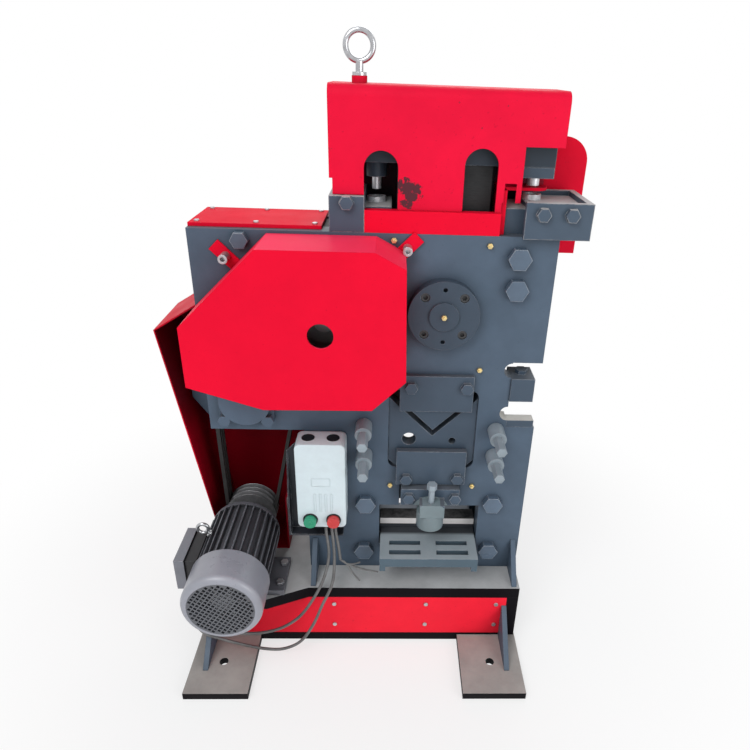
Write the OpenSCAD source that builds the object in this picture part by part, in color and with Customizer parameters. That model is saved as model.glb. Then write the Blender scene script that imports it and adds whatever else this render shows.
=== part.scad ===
// Mechanical ironworker: geared eccentric drive, two punch stations, angle, bar and flat shears, notcher.
// Millimetres. +X to the operator's right, front towards -Y, +Z up.
// Origin: centre of the four anchor holes, at the floor.

/* [Frame plates] */
// Thickness of the whole frame, front face to rear face
frame_t = 160; // [150:1:180]
// Thickness of the front plate
front_plate_t = 40; // [30:1:45]
// Thickness of the rear plate
rear_plate_t = 30; // [20:1:35]
// Reach of the frame to the right of the centre line
frame_right = 385; // [380:1:400]
// Reach of the upper arm to the left of the centre line
arm_left = 326; // [322:1:340]
// Reach of the lower column to the left of the centre line
column_left = 124; // [110:1:140]
// Height of the frame's top edge
frame_top = 1003; // [995:1:1020]
// Height of the upper arm's lower edge on the front plate
arm_bottom = 564; // [555:1:590]
// Height of the upper arm's lower edge on the rear plate
rear_arm_bottom = 512; // [505:1:530]

/* [Base] */
// Height of the base's top face
base_top = 173; // [160:1:180]
// Width of the base
base_w = 770; // [760:1:800]
// Depth of the base
base_d = 310; // [300:1:340]
// Thickness of the base's top plate
base_plate_t = 30; // [20:1:36]
// Thickness of the base's side walls
base_wall_t = 28; // [15:1:40]
// Reach of the motor shelf in front of the base
shelf_out = 38; // [30:1:50]
// Height of the bottom rails
rail_h = 25; // [22:1:30]
// Depth of the bottom rails
rail_d = 40; // [30:1:60]
// Thickness of the sheet panels
panel_t = 3; // [2:0.5:5]

/* [Feet] */
// Distance between the anchor holes across the machine
anchor_span_x = 630; // [600:1:640]
// Distance between the anchor holes from front to back
anchor_span_y = 470; // [440:1:500]
// Diameter of an anchor hole
anchor_d = 20; // [16:1:26]
// Length of a foot plate
foot_l = 640; // [620:1:680]
// Width of a foot plate
foot_w = 145; // [130:1:150]
// Thickness of a foot plate
foot_t = 18; // [12:1:20]

/* [Slide and eccentric] */
// Centre of the slide, to the right of the centre line
slide_x = 160; // [155:1:165]
// Width of the slide
slide_w = 180; // [170:1:186]
// Clear gap between the slide and what guides it
slide_gap = 0.5; // [0.3:0.1:1]
// Stroke of the slide
stroke = 18; // [14:1:19]
// Eccentric shaft, to the right of the centre line
ecc_x = 168; // [162:1:170]
// Height of the eccentric shaft
ecc_z = 846; // [840:1:855]
// Radius of the eccentric's lobe
lobe_r = 46; // [40:1:48]
// Radius of the eccentric shaft's journals
journal_r = 32; // [26:1:33]

/* [Gear train] */
// Module of the gears
gear_m = 5; // [4.8:0.1:5]
// Play between meshing flanks at the pitch circle
backlash = 0.6; // [0.4:0.1:1]
// Teeth of the first pinion, on the flywheel shaft
t_pin1 = 18; // [17:1:19]
// Teeth of the first gear, on the second shaft
t_gear1 = 39; // [38:1:40]
// Teeth of the second pinion, inside the front cover
t_pin2 = 16; // [16:1:17]
// Teeth of the second gear, inside the front cover
t_gear2 = 50; // [48:1:51]
// Teeth of the third pinion, behind the rear plate
t_pin3 = 25; // [24:1:26]
// Width of the gears
gear_w = 32; // [24:1:34]
// Radius of the plain shafts
shaft_r = 20; // [16:1:22]
// Running clearance of a shaft in its bush
run_gap = 0.05; // [0.03:0.01:0.1]
// Wall of the bronze bushes
bush_t = 8; // [5:1:10]

/* [Belt drive] */
// Radius of the motor pulley
pulley_r = 62; // [58:1:64]
// Radius of the belt wheel on the flywheel shaft
wheel_r = 104; // [98:1:106]
// Distance between belts
belt_pitch = 15; // [14:0.5:16]
// Width of a belt at its back
belt_w = 12; // [10:0.5:12.5]
// Thickness of a belt
belt_t = 8; // [6:0.5:9]
// Radius of the flywheel
flywheel_r = 150; // [130:1:152]
// Width of the flywheel's rim
flywheel_w = 40; // [30:1:46]

/* [Motor] */
// Motor axis, to the left of the centre line
motor_left = 280; // [275:1:285]
// Height of the motor axis above its shelf
motor_h = 90; // [88:1:100]
// Front face of the fan cowl, in front of the centre line
motor_front = 309; // [300:1:318]
// Radius of the fan cowl
cowl_r = 86; // [82:1:88]
// Length of the fan cowl
cowl_l = 88; // [70:1:95]
// Radius over the cooling fins
fin_r = 82; // [79:1:85]
// Number of cooling fins
fin_n = 24; // [16:1:28]
// Pitch of the openings in the grille
grille_pitch = 9; // [9:0.5:14]

/* [Covers] */
// Depth of the gear cover
cover_d = 120; // [110:1:130]
// Thickness of the cover sheets
sheet_t = 4; // [2:0.5:5]
// Radius of the sight hole in the gear cover
sight_r = 24.5; // [18:0.5:28]
// Height of the hood's top
hood_top = 1258; // [1250:1:1280]
// Depth of the hood
hood_d = 144; // [136:1:150]
// Radius of the hood's bent edges
hood_bend_r = 20; // [12:1:28]

/* [Starter] */
// Width of the starter box
box_w = 108; // [100:1:112]
// Height of the starter box
box_h = 220; // [200:1:225]
// Depth of the starter box
box_d = 56; // [45:1:70]
// Radius of a push button
button_r = 14; // [10:0.5:15]
// Diameter of the leads
lead_d = 7; // [6:0.5:9]

/* [Hidden] */
fine = 48;
over = 2;
touch = 0.3;

// Planes of the frame, from front to back
front_y = -frame_t / 2;
front_in = front_y + front_plate_t;
rear_y = frame_t / 2;
rear_in = rear_y - rear_plate_t;

// Gear centres: each pair stands one centre distance apart
t_gear3 = 69;
d12 = gear_m * (t_pin1 + t_gear1) / 2;
d23 = gear_m * (t_pin2 + t_gear2) / 2;
d34 = gear_m * (t_pin3 + t_gear3) / 2;
a43 = 182;
a32 = 199;
a21 = 262;
ecc_c = [ecc_x, ecc_z];
shaft3_c = ecc_c + d34 * [cos(a43), sin(a43)];
shaft2_c = shaft3_c + d23 * [cos(a32), sin(a32)];
shaft1_c = shaft2_c + d12 * [cos(a21), sin(a21)];
ecc_off = stroke / 2;

// Motor
motor_c = [-motor_left, base_top + motor_h];
motor_y = -motor_front;
cowl_back = motor_y + cowl_l;
stator_l = 161;
stator_back = cowl_back + stator_l;
shield_l = 30;
shield_back = stator_back + shield_l;

// Belt planes
belt_n = 3;
belt_edge = 8;
wheel_w = (belt_n - 1) * belt_pitch + 2 * belt_edge;
wheel_y0 = rear_in - touch - over - wheel_w;

module ycyl(r, y0, y1, c) {
    translate([c[0], y1, c[1]])
        rotate([90, 0, 0])
            cylinder(r = r, h = y1 - y0, $fn = fine);
}

module zcyl(r, z0, z1, x, y) {
    translate([x, y, z0])
        cylinder(r = r, h = z1 - z0, $fn = fine);
}

module yhex(af, y0, y1, c) {
    translate([c[0], y1, c[1]])
        rotate([90, 0, 0])
            cylinder(d = af / cos(30), h = y1 - y0, $fn = 6);
}

// An outline drawn in X and Z, pulled from y0 to y1
module xz(y0, y1) {
    translate([0, y1, 0])
        rotate([90, 0, 0])
            linear_extrude(y1 - y0)
                children();
}

module block(x, y, z) {
    translate([x[0], y[0], z[0]])
        cube([x[1] - x[0], y[1] - y[0], z[1] - z[0]]);
}

// Rectangle with round corners, drawn between two corners
module rrect(a, b, r) {
    translate([a[0] + r, a[1]])
        square([b[0] - a[0] - 2 * r, b[1] - a[1]]);
    translate([a[0], a[1] + r])
        square([b[0] - a[0], b[1] - a[1] - 2 * r]);
    for (x = [a[0] + r, b[0] - r])
        for (z = [a[1] + r, b[1] - r])
            translate([x, z])
                circle(r = r, $fn = fine);
}

// Feet and base
foot_proud = 2.5;
anchor_x = anchor_span_x / 2;
anchor_edge = 40;
foot_out = max(base_w / 2 + foot_proud, anchor_x + anchor_edge);
foot_in = min(foot_out - foot_w, anchor_x - anchor_edge);
anchor_y = anchor_span_y / 2;

module foot_plates() {
    color([0.2, 0.2, 0.2])
        for (s = [-1, 1])
            difference() {
                block(s > 0 ? [foot_in, foot_out] : [-foot_out, -foot_in],
                    [-foot_l / 2, foot_l / 2], [0, foot_t]);
                for (t = [-1, 1])
                    zcyl(anchor_d / 2, -over, foot_t + over, s * anchor_x, t * anchor_y);
            }
}

base_x = base_w / 2;
base_y = base_d / 2;
shelf_right = 121;
shelf_corner = 214;

module base_top_plate() {
    color([0.15, 0.15, 0.15])
        translate([0, 0, base_top - base_plate_t])
            linear_extrude(base_plate_t)
                polygon([[-base_x, -base_y - shelf_out], [-shelf_corner, -base_y - shelf_out],
                    [-shelf_right, -base_y], [base_x, -base_y], [base_x, base_y], [-base_x, base_y]]);
}

// The rails rest on the feet and drop to near the floor between them
rail_lift = 1.5;

module base_walls() {
    side_x = base_x - base_wall_t / 2;
    rail_y = base_y - rail_d / 2;
    color([0.12, 0.12, 0.12]) {
        for (s = [-1, 1])
            block([s * side_x - base_wall_t / 2, s * side_x + base_wall_t / 2], [-base_y, base_y],
                [rail_h, base_top - base_plate_t]);
        for (s = [-1, 1])
            xz(s * rail_y - rail_d / 2, s * rail_y + rail_d / 2)
                polygon([[-base_x, foot_t], [-foot_in, foot_t], [-foot_in, rail_lift], [foot_in, rail_lift],
                    [foot_in, foot_t], [base_x, foot_t], [base_x, rail_h], [-base_x, rail_h]]);
    }
}

panel_x = base_x - base_wall_t;

module base_panels() {
    mid_y = base_y - panel_t / 2;
    color([0.85, 0.08, 0.14])
        for (s = [-1, 1])
            block([-panel_x, panel_x], [s * mid_y - panel_t / 2, s * mid_y + panel_t / 2],
                [rail_h, base_top - base_plate_t]);
}

gusset_t = 12;
gusset_h = 88;
gusset_l = 70;
foot_gusset_h = 100;
foot_gusset_l = 105;
gusset_x = [-110, 372];
foot_gusset_in = 33;
foot_gusset_x = [foot_gusset_in - base_w / 2, base_w / 2 - foot_gusset_in];

// Triangular ribs: frame to base top, and base to feet, at front and back
module gussets() {
    color([0.25, 0.28, 0.32]) {
        for (x = gusset_x)
            for (s = [-1, 1])
                translate([x - gusset_t / 2, 0, 0])
                    rotate([90, 0, 90])
                        linear_extrude(gusset_t)
                            polygon([[s * rear_y, base_top], [s * (rear_y + gusset_l), base_top],
                                [s * rear_y, base_top + gusset_h]]);
        for (x = foot_gusset_x)
            for (s = [-1, 1])
                translate([x - gusset_t / 2, 0, 0])
                    rotate([90, 0, 90])
                        linear_extrude(gusset_t)
                            polygon([[s * base_y, foot_t], [s * (base_y + foot_gusset_l), foot_t],
                                [s * base_y, foot_t + foot_gusset_h]]);
    }
}

// Frame plates
throat_in = 322;
throat_back = 70;
window_back = 45;
throat_z = [580, 737];
throat_r = 17;
vee_below = 224;
vee_top = ecc_z - vee_below;
window_drop = 152;
window_rise = 46;
window_a = [62, vee_top - window_drop];
window_b = [256, vee_top + window_rise];
window_r = 18;
notch_a = [44, 244];
notch_b = [279, 362];
bolt_d = 24;
bolt_af = 41;
bolt_head = 15;
small_bolt_af = 30;
bolt_places = [[310, 961], [311, 898], [310, 372], [311, 231], [12, 368], [8, 228],
    [-226, 984, small_bolt_af]];
bush_r = shaft_r + run_gap + bush_t;
ecc_bush_r = journal_r + run_gap + bush_t;

module throat_outline(drop) {
    translate([throat_in, throat_z[0] - drop])
        square([frame_right - throat_in + over, throat_z[1] - throat_z[0] + drop]);
    for (z = [throat_z[0] + throat_blade_t + throat_r, throat_z[1] - throat_r - over])
        translate([throat_in, z])
            circle(r = throat_r, $fn = fine);
}

module notch_outline() {
    translate(notch_a)
        square(notch_b - notch_a);
}

// Way through the front plate for the notch tool's holder
module holder_outline() {
    low = notch_b[1] - over;
    translate([holder_n_x[0] - holder_clear, low])
        square([holder_n_x[1] - holder_n_x[0] + 2 * holder_clear, holder_n_z[1] + holder_clear - low]);
}

module bolt_holes(y0, y1) {
    for (c = bolt_places)
        ycyl(bolt_d / 2 + touch, y0, y1, c);
}

module front_plate() {
    color([0.3, 0.34, 0.39])
        difference() {
            xz(front_y, front_in)
                difference() {
                    polygon([[-column_left, base_top], [frame_right, base_top], [frame_right, frame_top],
                        [-arm_left, frame_top], [-arm_left, arm_bottom], [-column_left, arm_bottom]]);
                    throat_outline(0);
                    rrect(window_a, window_b, window_r);
                    notch_outline();
                    holder_outline();
                }
            ycyl(ecc_bush_r, front_y - over, front_in + over, ecc_c);
            for (c = [shaft1_c, shaft2_c, shaft3_c])
                ycyl(bush_r, front_y - over, front_in + over, c);
            bolt_holes(front_y - over, front_in + over);
        }
}

ear_left = 402;
ear_top = 740;
ear_cut = [361, 572];

module rear_plate() {
    color([0.28, 0.32, 0.37])
        difference() {
            xz(rear_in, rear_y)
                difference() {
                    polygon([[-column_left, base_top], [frame_right, base_top], [frame_right, frame_top],
                        [-arm_left, frame_top], [-arm_left, ear_top], [-ear_left, ear_top],
                        [-ear_left, ear_cut[1]], [-ear_cut[0], rear_arm_bottom],
                        [-column_left, rear_arm_bottom]]);
                    throat_outline(throat_back);
                    rrect(window_a - [0, window_back], window_b, window_r);
                    notch_outline();
                }
            ycyl(ecc_bush_r, rear_in - over, rear_y + over, ecc_c);
            for (c = [shaft1_c, shaft2_c, shaft3_c])
                ycyl(bush_r, rear_in - over, rear_y + over, c);
            bolt_holes(rear_in - over, rear_y + over);
        }
}

spacer_edge = 3;
spacer_h = 41;
spacer_right = 291;
guide_t = 29;
guide_z = [440, 1000];
slide_left = slide_x - slide_w / 2;
slide_right = slide_x + slide_w / 2;
guide_out = slide_right + slide_gap + guide_t;
guide_in = slide_left - slide_gap - guide_t;

// Bars between the plates: right foot, right top, left foot, top arm, and the two guides of the slide
module frame_spacers() {
    color([0.26, 0.29, 0.33])
        difference() {
            union() {
                block([spacer_right, frame_right - spacer_edge], [front_in, rear_in],
                    [base_top, throat_z[0] - throat_back]);
                block([guide_out, frame_right - spacer_edge], [front_in, rear_in],
                    [throat_z[1] + spacer_edge, frame_top - spacer_edge]);
                block([-column_left / 2, notch_a[0] - spacer_edge], [front_in, rear_in],
                    [base_top, guide_z[0]]);
                block([-arm_left + spacer_edge, guide_in], [front_in, rear_in],
                    [frame_top - spacer_h, frame_top - spacer_edge]);
            }
            bolt_holes(front_in - over, rear_in + over);
        }
    color([0.5, 0.52, 0.55]) {
        block([guide_in, slide_left - slide_gap], [front_in, rear_in], guide_z);
        block([slide_right + slide_gap, guide_out], [front_in, rear_in], guide_z);
    }
}

// Heads at the front; the shanks are tapped into the rear plate
module frame_bolts() {
    color([0.3, 0.34, 0.39])
        for (c = bolt_places)
            union() {
                yhex(len(c) > 2 ? c[2] : bolt_af, front_y - bolt_head, front_y, c);
                ycyl(bolt_d / 2, front_y - over, rear_y - over, c);
            }
}

stud_places = [[8, 579], [9, 504], [300, 572], [301, 505]];
stud_r = 18;
stud_sleeve = 44;
stud_end_r = 10;
stud_end = 50;

module adjusting_studs() {
    color([0.35, 0.38, 0.42])
        for (c = stud_places)
            union() {
                ycyl(stud_r, front_y - stud_sleeve, front_y, c);
                yhex(stud_end_r * 2, front_y - stud_sleeve - stud_end, front_y - stud_sleeve, c);
            }
}

nipple_r = 5;
nipple_l = 9;
nipple_tip_r = 3;
nipple_places = [[66, 990], [251, 984], [252, 719], [68, 420], [258, 420]];

module nipple(y, c) {
    yhex(nipple_r * 2, y - nipple_l / 2, y, c);
    ycyl(nipple_tip_r, y - nipple_l, y - nipple_l / 2, c);
}

module grease_nipples() {
    color([0.75, 0.6, 0.25]) {
        for (c = nipple_places)
            nipple(front_y, c);
        nipple(front_y - cap_t - cap_hub, ecc_c);
    }
}

// Slide, guided between the plates and the two guide bars
vee_x = [88, 231];
vee_drop = 70;
vee_apex = [159.5, vee_top - vee_drop];
vee_w = 13;
bar_drop = [79, 83];
bar_round_c = [108, vee_top - bar_drop[0]];
bar_round_r = 15.5;
bar_fall = 90;
bar_small_c = [205, vee_top - bar_drop[1]];
bar_small_r = 8;
slide_bottom = 350;
head_bottom = 1126;
head_bolt_af = 33;
head_bolt_h = 12;
head_top = 1235;
head_x = [-45, 366];
head_y = [-46, 46];
yoke_clear = 1;

module vee_slot(w) {
    rise = w * sqrt(2);
    polygon([[vee_x[0], vee_top], vee_apex, [vee_x[1], vee_top], [vee_x[1], vee_top + rise],
        vee_apex + [0, rise], [vee_x[0], vee_top + rise]]);
}

module slide() {
    reach = lobe_r + ecc_off + yoke_clear;
    color([0.33, 0.36, 0.4])
        difference() {
            block([slide_left, slide_right], [front_in + slide_gap, rear_in - slide_gap],
                [slide_bottom, head_bottom]);
            block([ecc_x - reach, ecc_x + reach], [front_in - over, rear_in + over],
                [ecc_z - reach, ecc_z + reach + stroke]);
            xz(front_in - over, rear_in + over)
                vee_slot(vee_w);
            ycyl(bar_round_r, front_in - over, rear_in + over, bar_round_c);
            block([bar_round_c[0] - bar_round_r, bar_round_c[0] + bar_round_r],
                [front_in - over, rear_in + over], [bar_round_c[1] - bar_fall, bar_round_c[1]]);
            ycyl(bar_small_r, front_in - over, rear_in + over, bar_small_c);
        }
}

module crosshead() {
    color([0.3, 0.34, 0.39])
        union() {
            block(head_x, head_y, [head_bottom, head_top]);
            for (x = [slide_left + bolt_af, slide_right - bolt_af])
                yhex(head_bolt_af, head_y[0] - head_bolt_h, head_y[0], [x, (head_bottom + head_top) / 2]);
        }
}

// Eccentric shaft: journals in both plates, lobe inside the slide's yoke, hub for the gear behind
gear3_gap = 6;
gear3_y = [rear_y + gear3_gap, rear_y + gear3_gap + gear_w];
cap_t = 25;
cap_r = 72;

module eccentric_shaft() {
    color([0.6, 0.62, 0.65])
        union() {
            ycyl(journal_r, front_y, gear3_y[1] + over, ecc_c);
            ycyl(lobe_r, front_in + over, rear_in - over, ecc_c + [0, ecc_off]);
        }
}

function polar(r, a) = r * [cos(a), sin(a)];

// Involute tooth: half angle of the tooth at radius q
function inv_deg(q, rb) = q > rb ? tan(acos(rb / q)) * 180 / PI - acos(rb / q) : 0;

function flank(q, r, rb, n) =
    90 / n - backlash / r * 45 / PI + inv_deg(r, rb) - inv_deg(q, rb);

tip_share = 0.95;
root_share = 1.25;

function gear_points(n) =
    let (r = gear_m * n / 2,
        rb = r * cos(20),
        ra = r + gear_m * tip_share,
        rf = r - gear_m * root_share,
        rm = max(rb, rf + gear_m * (root_share - tip_share)),
        qs = [rf, rm, r, (r + ra) / 2, ra])
    [for (i = [0:n - 1])
        each concat(
            [for (k = [0:4]) polar(qs[k], i * 360 / n - flank(qs[k], r, rb, n))],
            [for (k = [4:-1:0]) polar(qs[k], i * 360 / n + flank(qs[k], r, rb, n))])];

// A toothed wheel with one tooth pointing along the angle a
module gear(n, c, y0, y1, a) {
    xz(y0, y1)
        translate(c)
            rotate(a)
                polygon(gear_points(n));
}

rim_teeth_share = 4;
hub_share = 0.22;
web_cut = 8;

// A bored gear, thinned to a web between its rim and its hub on both faces
module web_gear(n, c, y0, y1, bore_r, a) {
    rim = gear_m * n / 2 - gear_m * rim_teeth_share;
    difference() {
        gear(n, c, y0, y1, a);
        ycyl(bore_r, y0 - over, y1 + over, c);
        for (y = [[y0 - over, y0 + web_cut], [y1 - web_cut, y1 + over]])
            difference() {
                ycyl(rim, y[0], y[1], c);
                ycyl(bore_r + rim * hub_share, y[0] - over, y[1] + over, c);
            }
    }
}

mesh_a = 180;

module eccentric_gear() {
    color([0.45, 0.47, 0.5])
        web_gear(t_gear3, ecc_c, gear3_y[0], gear3_y[1], journal_r, a43 + 180 / t_gear3);
}

cover_gear_out = 48;
cover_gear_y = [front_y - cover_gear_out, front_y - cover_gear_out + gear_w];
inner_gear_gap = 2;
inner_gear_y = [front_in + inner_gear_gap, front_in + inner_gear_gap + gear_w];

// Shaft with the third pinion cut on it
module gear_shaft() {
    color([0.6, 0.62, 0.65])
        union() {
            ycyl(shaft_r, cover_gear_y[0] - over, gear3_y[1] + over, shaft3_c);
            gear(t_pin3, shaft3_c, gear3_y[0], gear3_y[1], a43 + mesh_a);
        }
}

module second_gear() {
    color([0.45, 0.47, 0.5])
        web_gear(t_gear2, shaft3_c, cover_gear_y[0], cover_gear_y[1], shaft_r, a32 + 180 / t_gear2);
}

// Shaft with the second pinion cut on it
module second_shaft() {
    color([0.6, 0.62, 0.65])
        union() {
            ycyl(shaft_r, cover_gear_y[0] - over, rear_y, shaft2_c);
            gear(t_pin2, shaft2_c, cover_gear_y[0], cover_gear_y[1], a32 + mesh_a);
        }
}

module first_gear() {
    color([0.45, 0.47, 0.5])
        web_gear(t_gear1, shaft2_c, inner_gear_y[0], inner_gear_y[1], shaft_r, a21 + 180 / t_gear1);
}

housing_r = 54;
housing_t = 25;
housing_base = 12;
flywheel_gap = 4;
flywheel_y = [rear_y + housing_base + flywheel_gap, rear_y + housing_base + flywheel_gap + flywheel_w];

// Shaft with the first pinion cut on it
module flywheel_shaft() {
    color([0.6, 0.62, 0.65])
        union() {
            ycyl(shaft_r, front_y, flywheel_y[1] + over, shaft1_c);
            gear(t_pin1, shaft1_c, inner_gear_y[0], inner_gear_y[1], a21 + mesh_a);
        }
}

// Bronze bushes pressed into both plates, one for each shaft
module shaft_bushes() {
    color([0.7, 0.5, 0.25])
        for (y = [[front_y, front_in], [rear_in, rear_y]]) {
            for (c = [shaft1_c, shaft2_c, shaft3_c])
                difference() {
                    ycyl(bush_r, y[0], y[1], c);
                    ycyl(shaft_r + run_gap, y[0] - over, y[1] + over, c);
                }
            difference() {
                ycyl(ecc_bush_r, y[0], y[1], ecc_c);
                ycyl(journal_r + run_gap, y[0] - over, y[1] + over, ecc_c);
            }
        }
}

cap_hub_r = 30;
cap_hub = 4;
cap_pcd_share = 0.76;
cap_screw_r = 9;
cap_screw_deep = 12;
cap_angles = [45, 135, 225, 315];

module bearing_cap() {
    color([0.3, 0.34, 0.39])
        difference() {
            union() {
                ycyl(cap_r, front_y - cap_t, front_y, ecc_c);
                ycyl(cap_hub_r, front_y - cap_t - cap_hub, front_y - cap_t, ecc_c);
            }
            for (a = cap_angles)
                ycyl(cap_screw_r + touch, front_y - cap_t - over, front_y - cap_t + cap_screw_deep,
                    ecc_c + cap_r * cap_pcd_share * [cos(a), sin(a)]);
            for (a = [90, 270])
                ycyl(cap_screw_r / 2, front_y - cap_t - over, front_y - cap_t + cap_screw_deep,
                    ecc_c + cap_r * cap_pcd_share * [cos(a), sin(a)]);
        }
}

module cap_screws() {
    color([0.2, 0.22, 0.25]) {
        for (a = cap_angles)
            difference() {
                ycyl(cap_screw_r, front_y - cap_t + over, front_y - cap_t + cap_screw_deep,
                    ecc_c + cap_r * cap_pcd_share * [cos(a), sin(a)]);
                yhex(cap_screw_r, front_y - cap_t, front_y - cap_t + cap_screw_deep / 2 + over,
                    ecc_c + cap_r * cap_pcd_share * [cos(a), sin(a)]);
            }
    }
}

housing_w = 116;
housing_bolt = 46;

module housing_flange(y0) {
    xz(y0, y0 + housing_base)
        translate(shaft1_c - [housing_w, housing_w] / 2)
            rrect([0, 0], [housing_w, housing_w], housing_base);
}

// Flanged housings at both ends of the flywheel shaft
module shaft_housings() {
    color([0.3, 0.34, 0.39]) {
        union() {
            housing_flange(front_y - housing_base);
            ycyl(housing_r, front_y - housing_t, front_y, shaft1_c);
            for (x = [-1, 1])
                for (z = [-1, 1])
                    yhex(bolt_d, front_y - housing_t, front_y, shaft1_c + housing_bolt * [x, z]);
        }
        difference() {
            housing_flange(rear_y);
            ycyl(shaft_r + run_gap, rear_y - over, rear_y + housing_base + over, shaft1_c);
        }
    }
}

// Grooved wheel for the belts, as half of its section
groove_d = 11;
groove_top = 7;
groove_low = 4.6;

function groove_outline(r) =
    concat([[0, 0], [r, 0]],
        [for (i = [0:belt_n - 1])
            let (mid = belt_edge + i * belt_pitch)
                each [[r, mid - groove_top], [r - groove_d, mid - groove_low],
                    [r - groove_d, mid + groove_low], [r, mid + groove_top]]],
        [[r, wheel_w], [0, wheel_w]]);

module grooved_wheel(r, c, y0) {
    translate([c[0], y0, c[1]])
        rotate([-90, 0, 0])
            rotate_extrude($fn = fine)
                polygon(groove_outline(r));
}

wheel_hub_r = 36;
wheel_holes = 6;
wheel_hole_r = 15;

fly_rim = 34;
fly_web = 14;
fly_cut = (flywheel_w - fly_web) / 2;

// Belt wheel between the plates and flywheel behind them, keyed to one shaft
module flywheel() {
    hole_pcr = (wheel_hub_r + wheel_r - groove_d) / 2;
    color([0.28, 0.3, 0.34]) {
        difference() {
            grooved_wheel(wheel_r, shaft1_c, wheel_y0);
            ycyl(shaft_r, wheel_y0 - over, wheel_y0 + wheel_w + over, shaft1_c);
            for (i = [1:wheel_holes])
                ycyl(wheel_hole_r, wheel_y0 - over, wheel_y0 + wheel_w + over,
                    shaft1_c + polar(hole_pcr, i * 360 / wheel_holes));
        }
        difference() {
            ycyl(flywheel_r, flywheel_y[0], flywheel_y[1], shaft1_c);
            ycyl(shaft_r, flywheel_y[0] - over, flywheel_y[1] + over, shaft1_c);
            for (y = [[flywheel_y[0] - over, flywheel_y[0] + fly_cut],
                    [flywheel_y[1] - fly_cut, flywheel_y[1] + over]])
                difference() {
                    ycyl(flywheel_r - fly_rim, y[0], y[1], shaft1_c);
                    ycyl(wheel_hub_r, y[0] - over, y[1] + over, shaft1_c);
                }
        }
    }
}

// A belt is a trapezium swept round the two wheels
belt_steps = 16;
belt_rise = 1;
belt_low_share = 0.62;
belt_run = [shaft1_c[0] - motor_c[0], shaft1_c[1] - motor_c[1]];
belt_dist = norm(belt_run);
belt_dir = atan2(belt_run[1], belt_run[0]);
belt_wrap = acos((wheel_r - pulley_r) / belt_dist);

function belt_ring(c, r, a, y) =
    let (n = [cos(a), sin(a)],
        o = c + n * (r - groove_d + belt_rise + belt_t),
        i = c + n * (r - groove_d + belt_rise),
        w = belt_w / 2,
        v = belt_w / 2 * belt_low_share)
    [[o[0], y - w, o[1]], [o[0], y + w, o[1]], [i[0], y + v, i[1]], [i[0], y - v, i[1]]];

belt_over = 360 - 2 * belt_wrap;

function belt_rings(y) = concat(
    [for (k = [0:belt_steps])
        belt_ring(shaft1_c, wheel_r, belt_dir - belt_over / 2 + k * belt_over / belt_steps, y)],
    [for (k = [0:belt_steps])
        belt_ring(motor_c, pulley_r, belt_dir + belt_over / 2 + k * (360 - belt_over) / belt_steps, y)]);

module belt(y) {
    rings = belt_rings(y);
    count = len(rings);
    polyhedron(
        points = [for (ring = rings) each ring],
        faces = [for (i = [0:count - 1]) for (k = [0:3])
            each [[4 * i + k, 4 * ((i + 1) % count) + k, 4 * i + (k + 1) % 4],
                [4 * i + (k + 1) % 4, 4 * ((i + 1) % count) + k, 4 * ((i + 1) % count) + (k + 1) % 4]]]);
}

module drive_belts() {
    color([0.1, 0.1, 0.1])
        for (i = [0:belt_n - 1])
            belt(wheel_y0 + belt_edge + i * belt_pitch);
}

// Motor: finned housing on two feet, cowl with a grille, end shield, rotor
stator_r = 73;
fin_t = 3;
fin_from = -52;
fin_to = 232;
motor_foot_h = 14;
motor_foot_x = [58, 106];
foot_from_ends = [42, 8];
bolt_from_ends = [66, 30];
motor_foot_y = [cowl_back + foot_from_ends[0], stator_back - foot_from_ends[1]];
motor_bolt_x = 94;
motor_bolt_y = [cowl_back + bolt_from_ends[0], stator_back - bolt_from_ends[1]];
web_t = 10;
bore_r = 46;

module motor_housing() {
    foot_mid = (motor_foot_x[0] + motor_foot_x[1]) / 2;
    foot_half = (motor_foot_x[1] - motor_foot_x[0]) / 2;
    color([0.5, 0.5, 0.53])
        difference() {
            union() {
                ycyl(stator_r, cowl_back, stator_back, motor_c);
                for (i = [0:fin_n - 1])
                    translate([motor_c[0], cowl_back, motor_c[1]])
                        rotate([0, -(fin_from + (fin_to - fin_from) * i / (fin_n - 1)), 0])
                            translate([stator_r - over, 0, -fin_t / 2])
                                cube([fin_r - stator_r + over, stator_back - cowl_back, fin_t]);
                for (s = [-1, 1])
                    block([motor_c[0] + s * foot_mid - foot_half, motor_c[0] + s * foot_mid + foot_half],
                        motor_foot_y, [base_top, base_top + motor_foot_h]);
                for (x = [motor_c[0] - motor_foot_x[0], motor_c[0] + motor_foot_x[0]])
                    block([x - web_t / 2, x + web_t / 2], motor_foot_y,
                        [base_top + motor_foot_h / 2, motor_c[1] - stator_r / 2]);
            }
            ycyl(bore_r, cowl_back - over, stator_back + over, motor_c);
            for (s = [-1, 1])
                for (y = motor_bolt_y)
                    zcyl(motor_bolt_r + touch, base_top - over, base_top + motor_foot_h + over,
                        motor_c[0] + s * motor_bolt_x, y);
        }
}

motor_bolt_r = 5;
motor_bolt_af = 16;
motor_bolt_head = 7;

module motor_bolts() {
    color([0.45, 0.46, 0.48])
        for (x = [motor_c[0] - motor_bolt_x, motor_c[0] + motor_bolt_x])
            for (y = motor_bolt_y)
                union() {
                    zcyl(motor_bolt_r, base_top, base_top + motor_foot_h + over, x, y);
                    translate([x, y, base_top + motor_foot_h])
                        cylinder(d = motor_bolt_af / cos(30), h = motor_bolt_head, $fn = 6);
                }
}

cowl_t = 2.5;
cowl_nose = 14;
grille_r = 70;
grille_hole = 6.2;
grille_n = 7;
grille_a = 35;

module cowl_profile(t) {
    translate([0, cowl_nose])
        square([cowl_r - t, cowl_l - cowl_nose + (t > 0 ? over : 0)]);
    translate([0, t])
        square([cowl_r - cowl_nose, cowl_l - 2 * t]);
    translate([cowl_r - cowl_nose, cowl_nose])
        circle(r = cowl_nose - t, $fn = fine);
}

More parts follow.
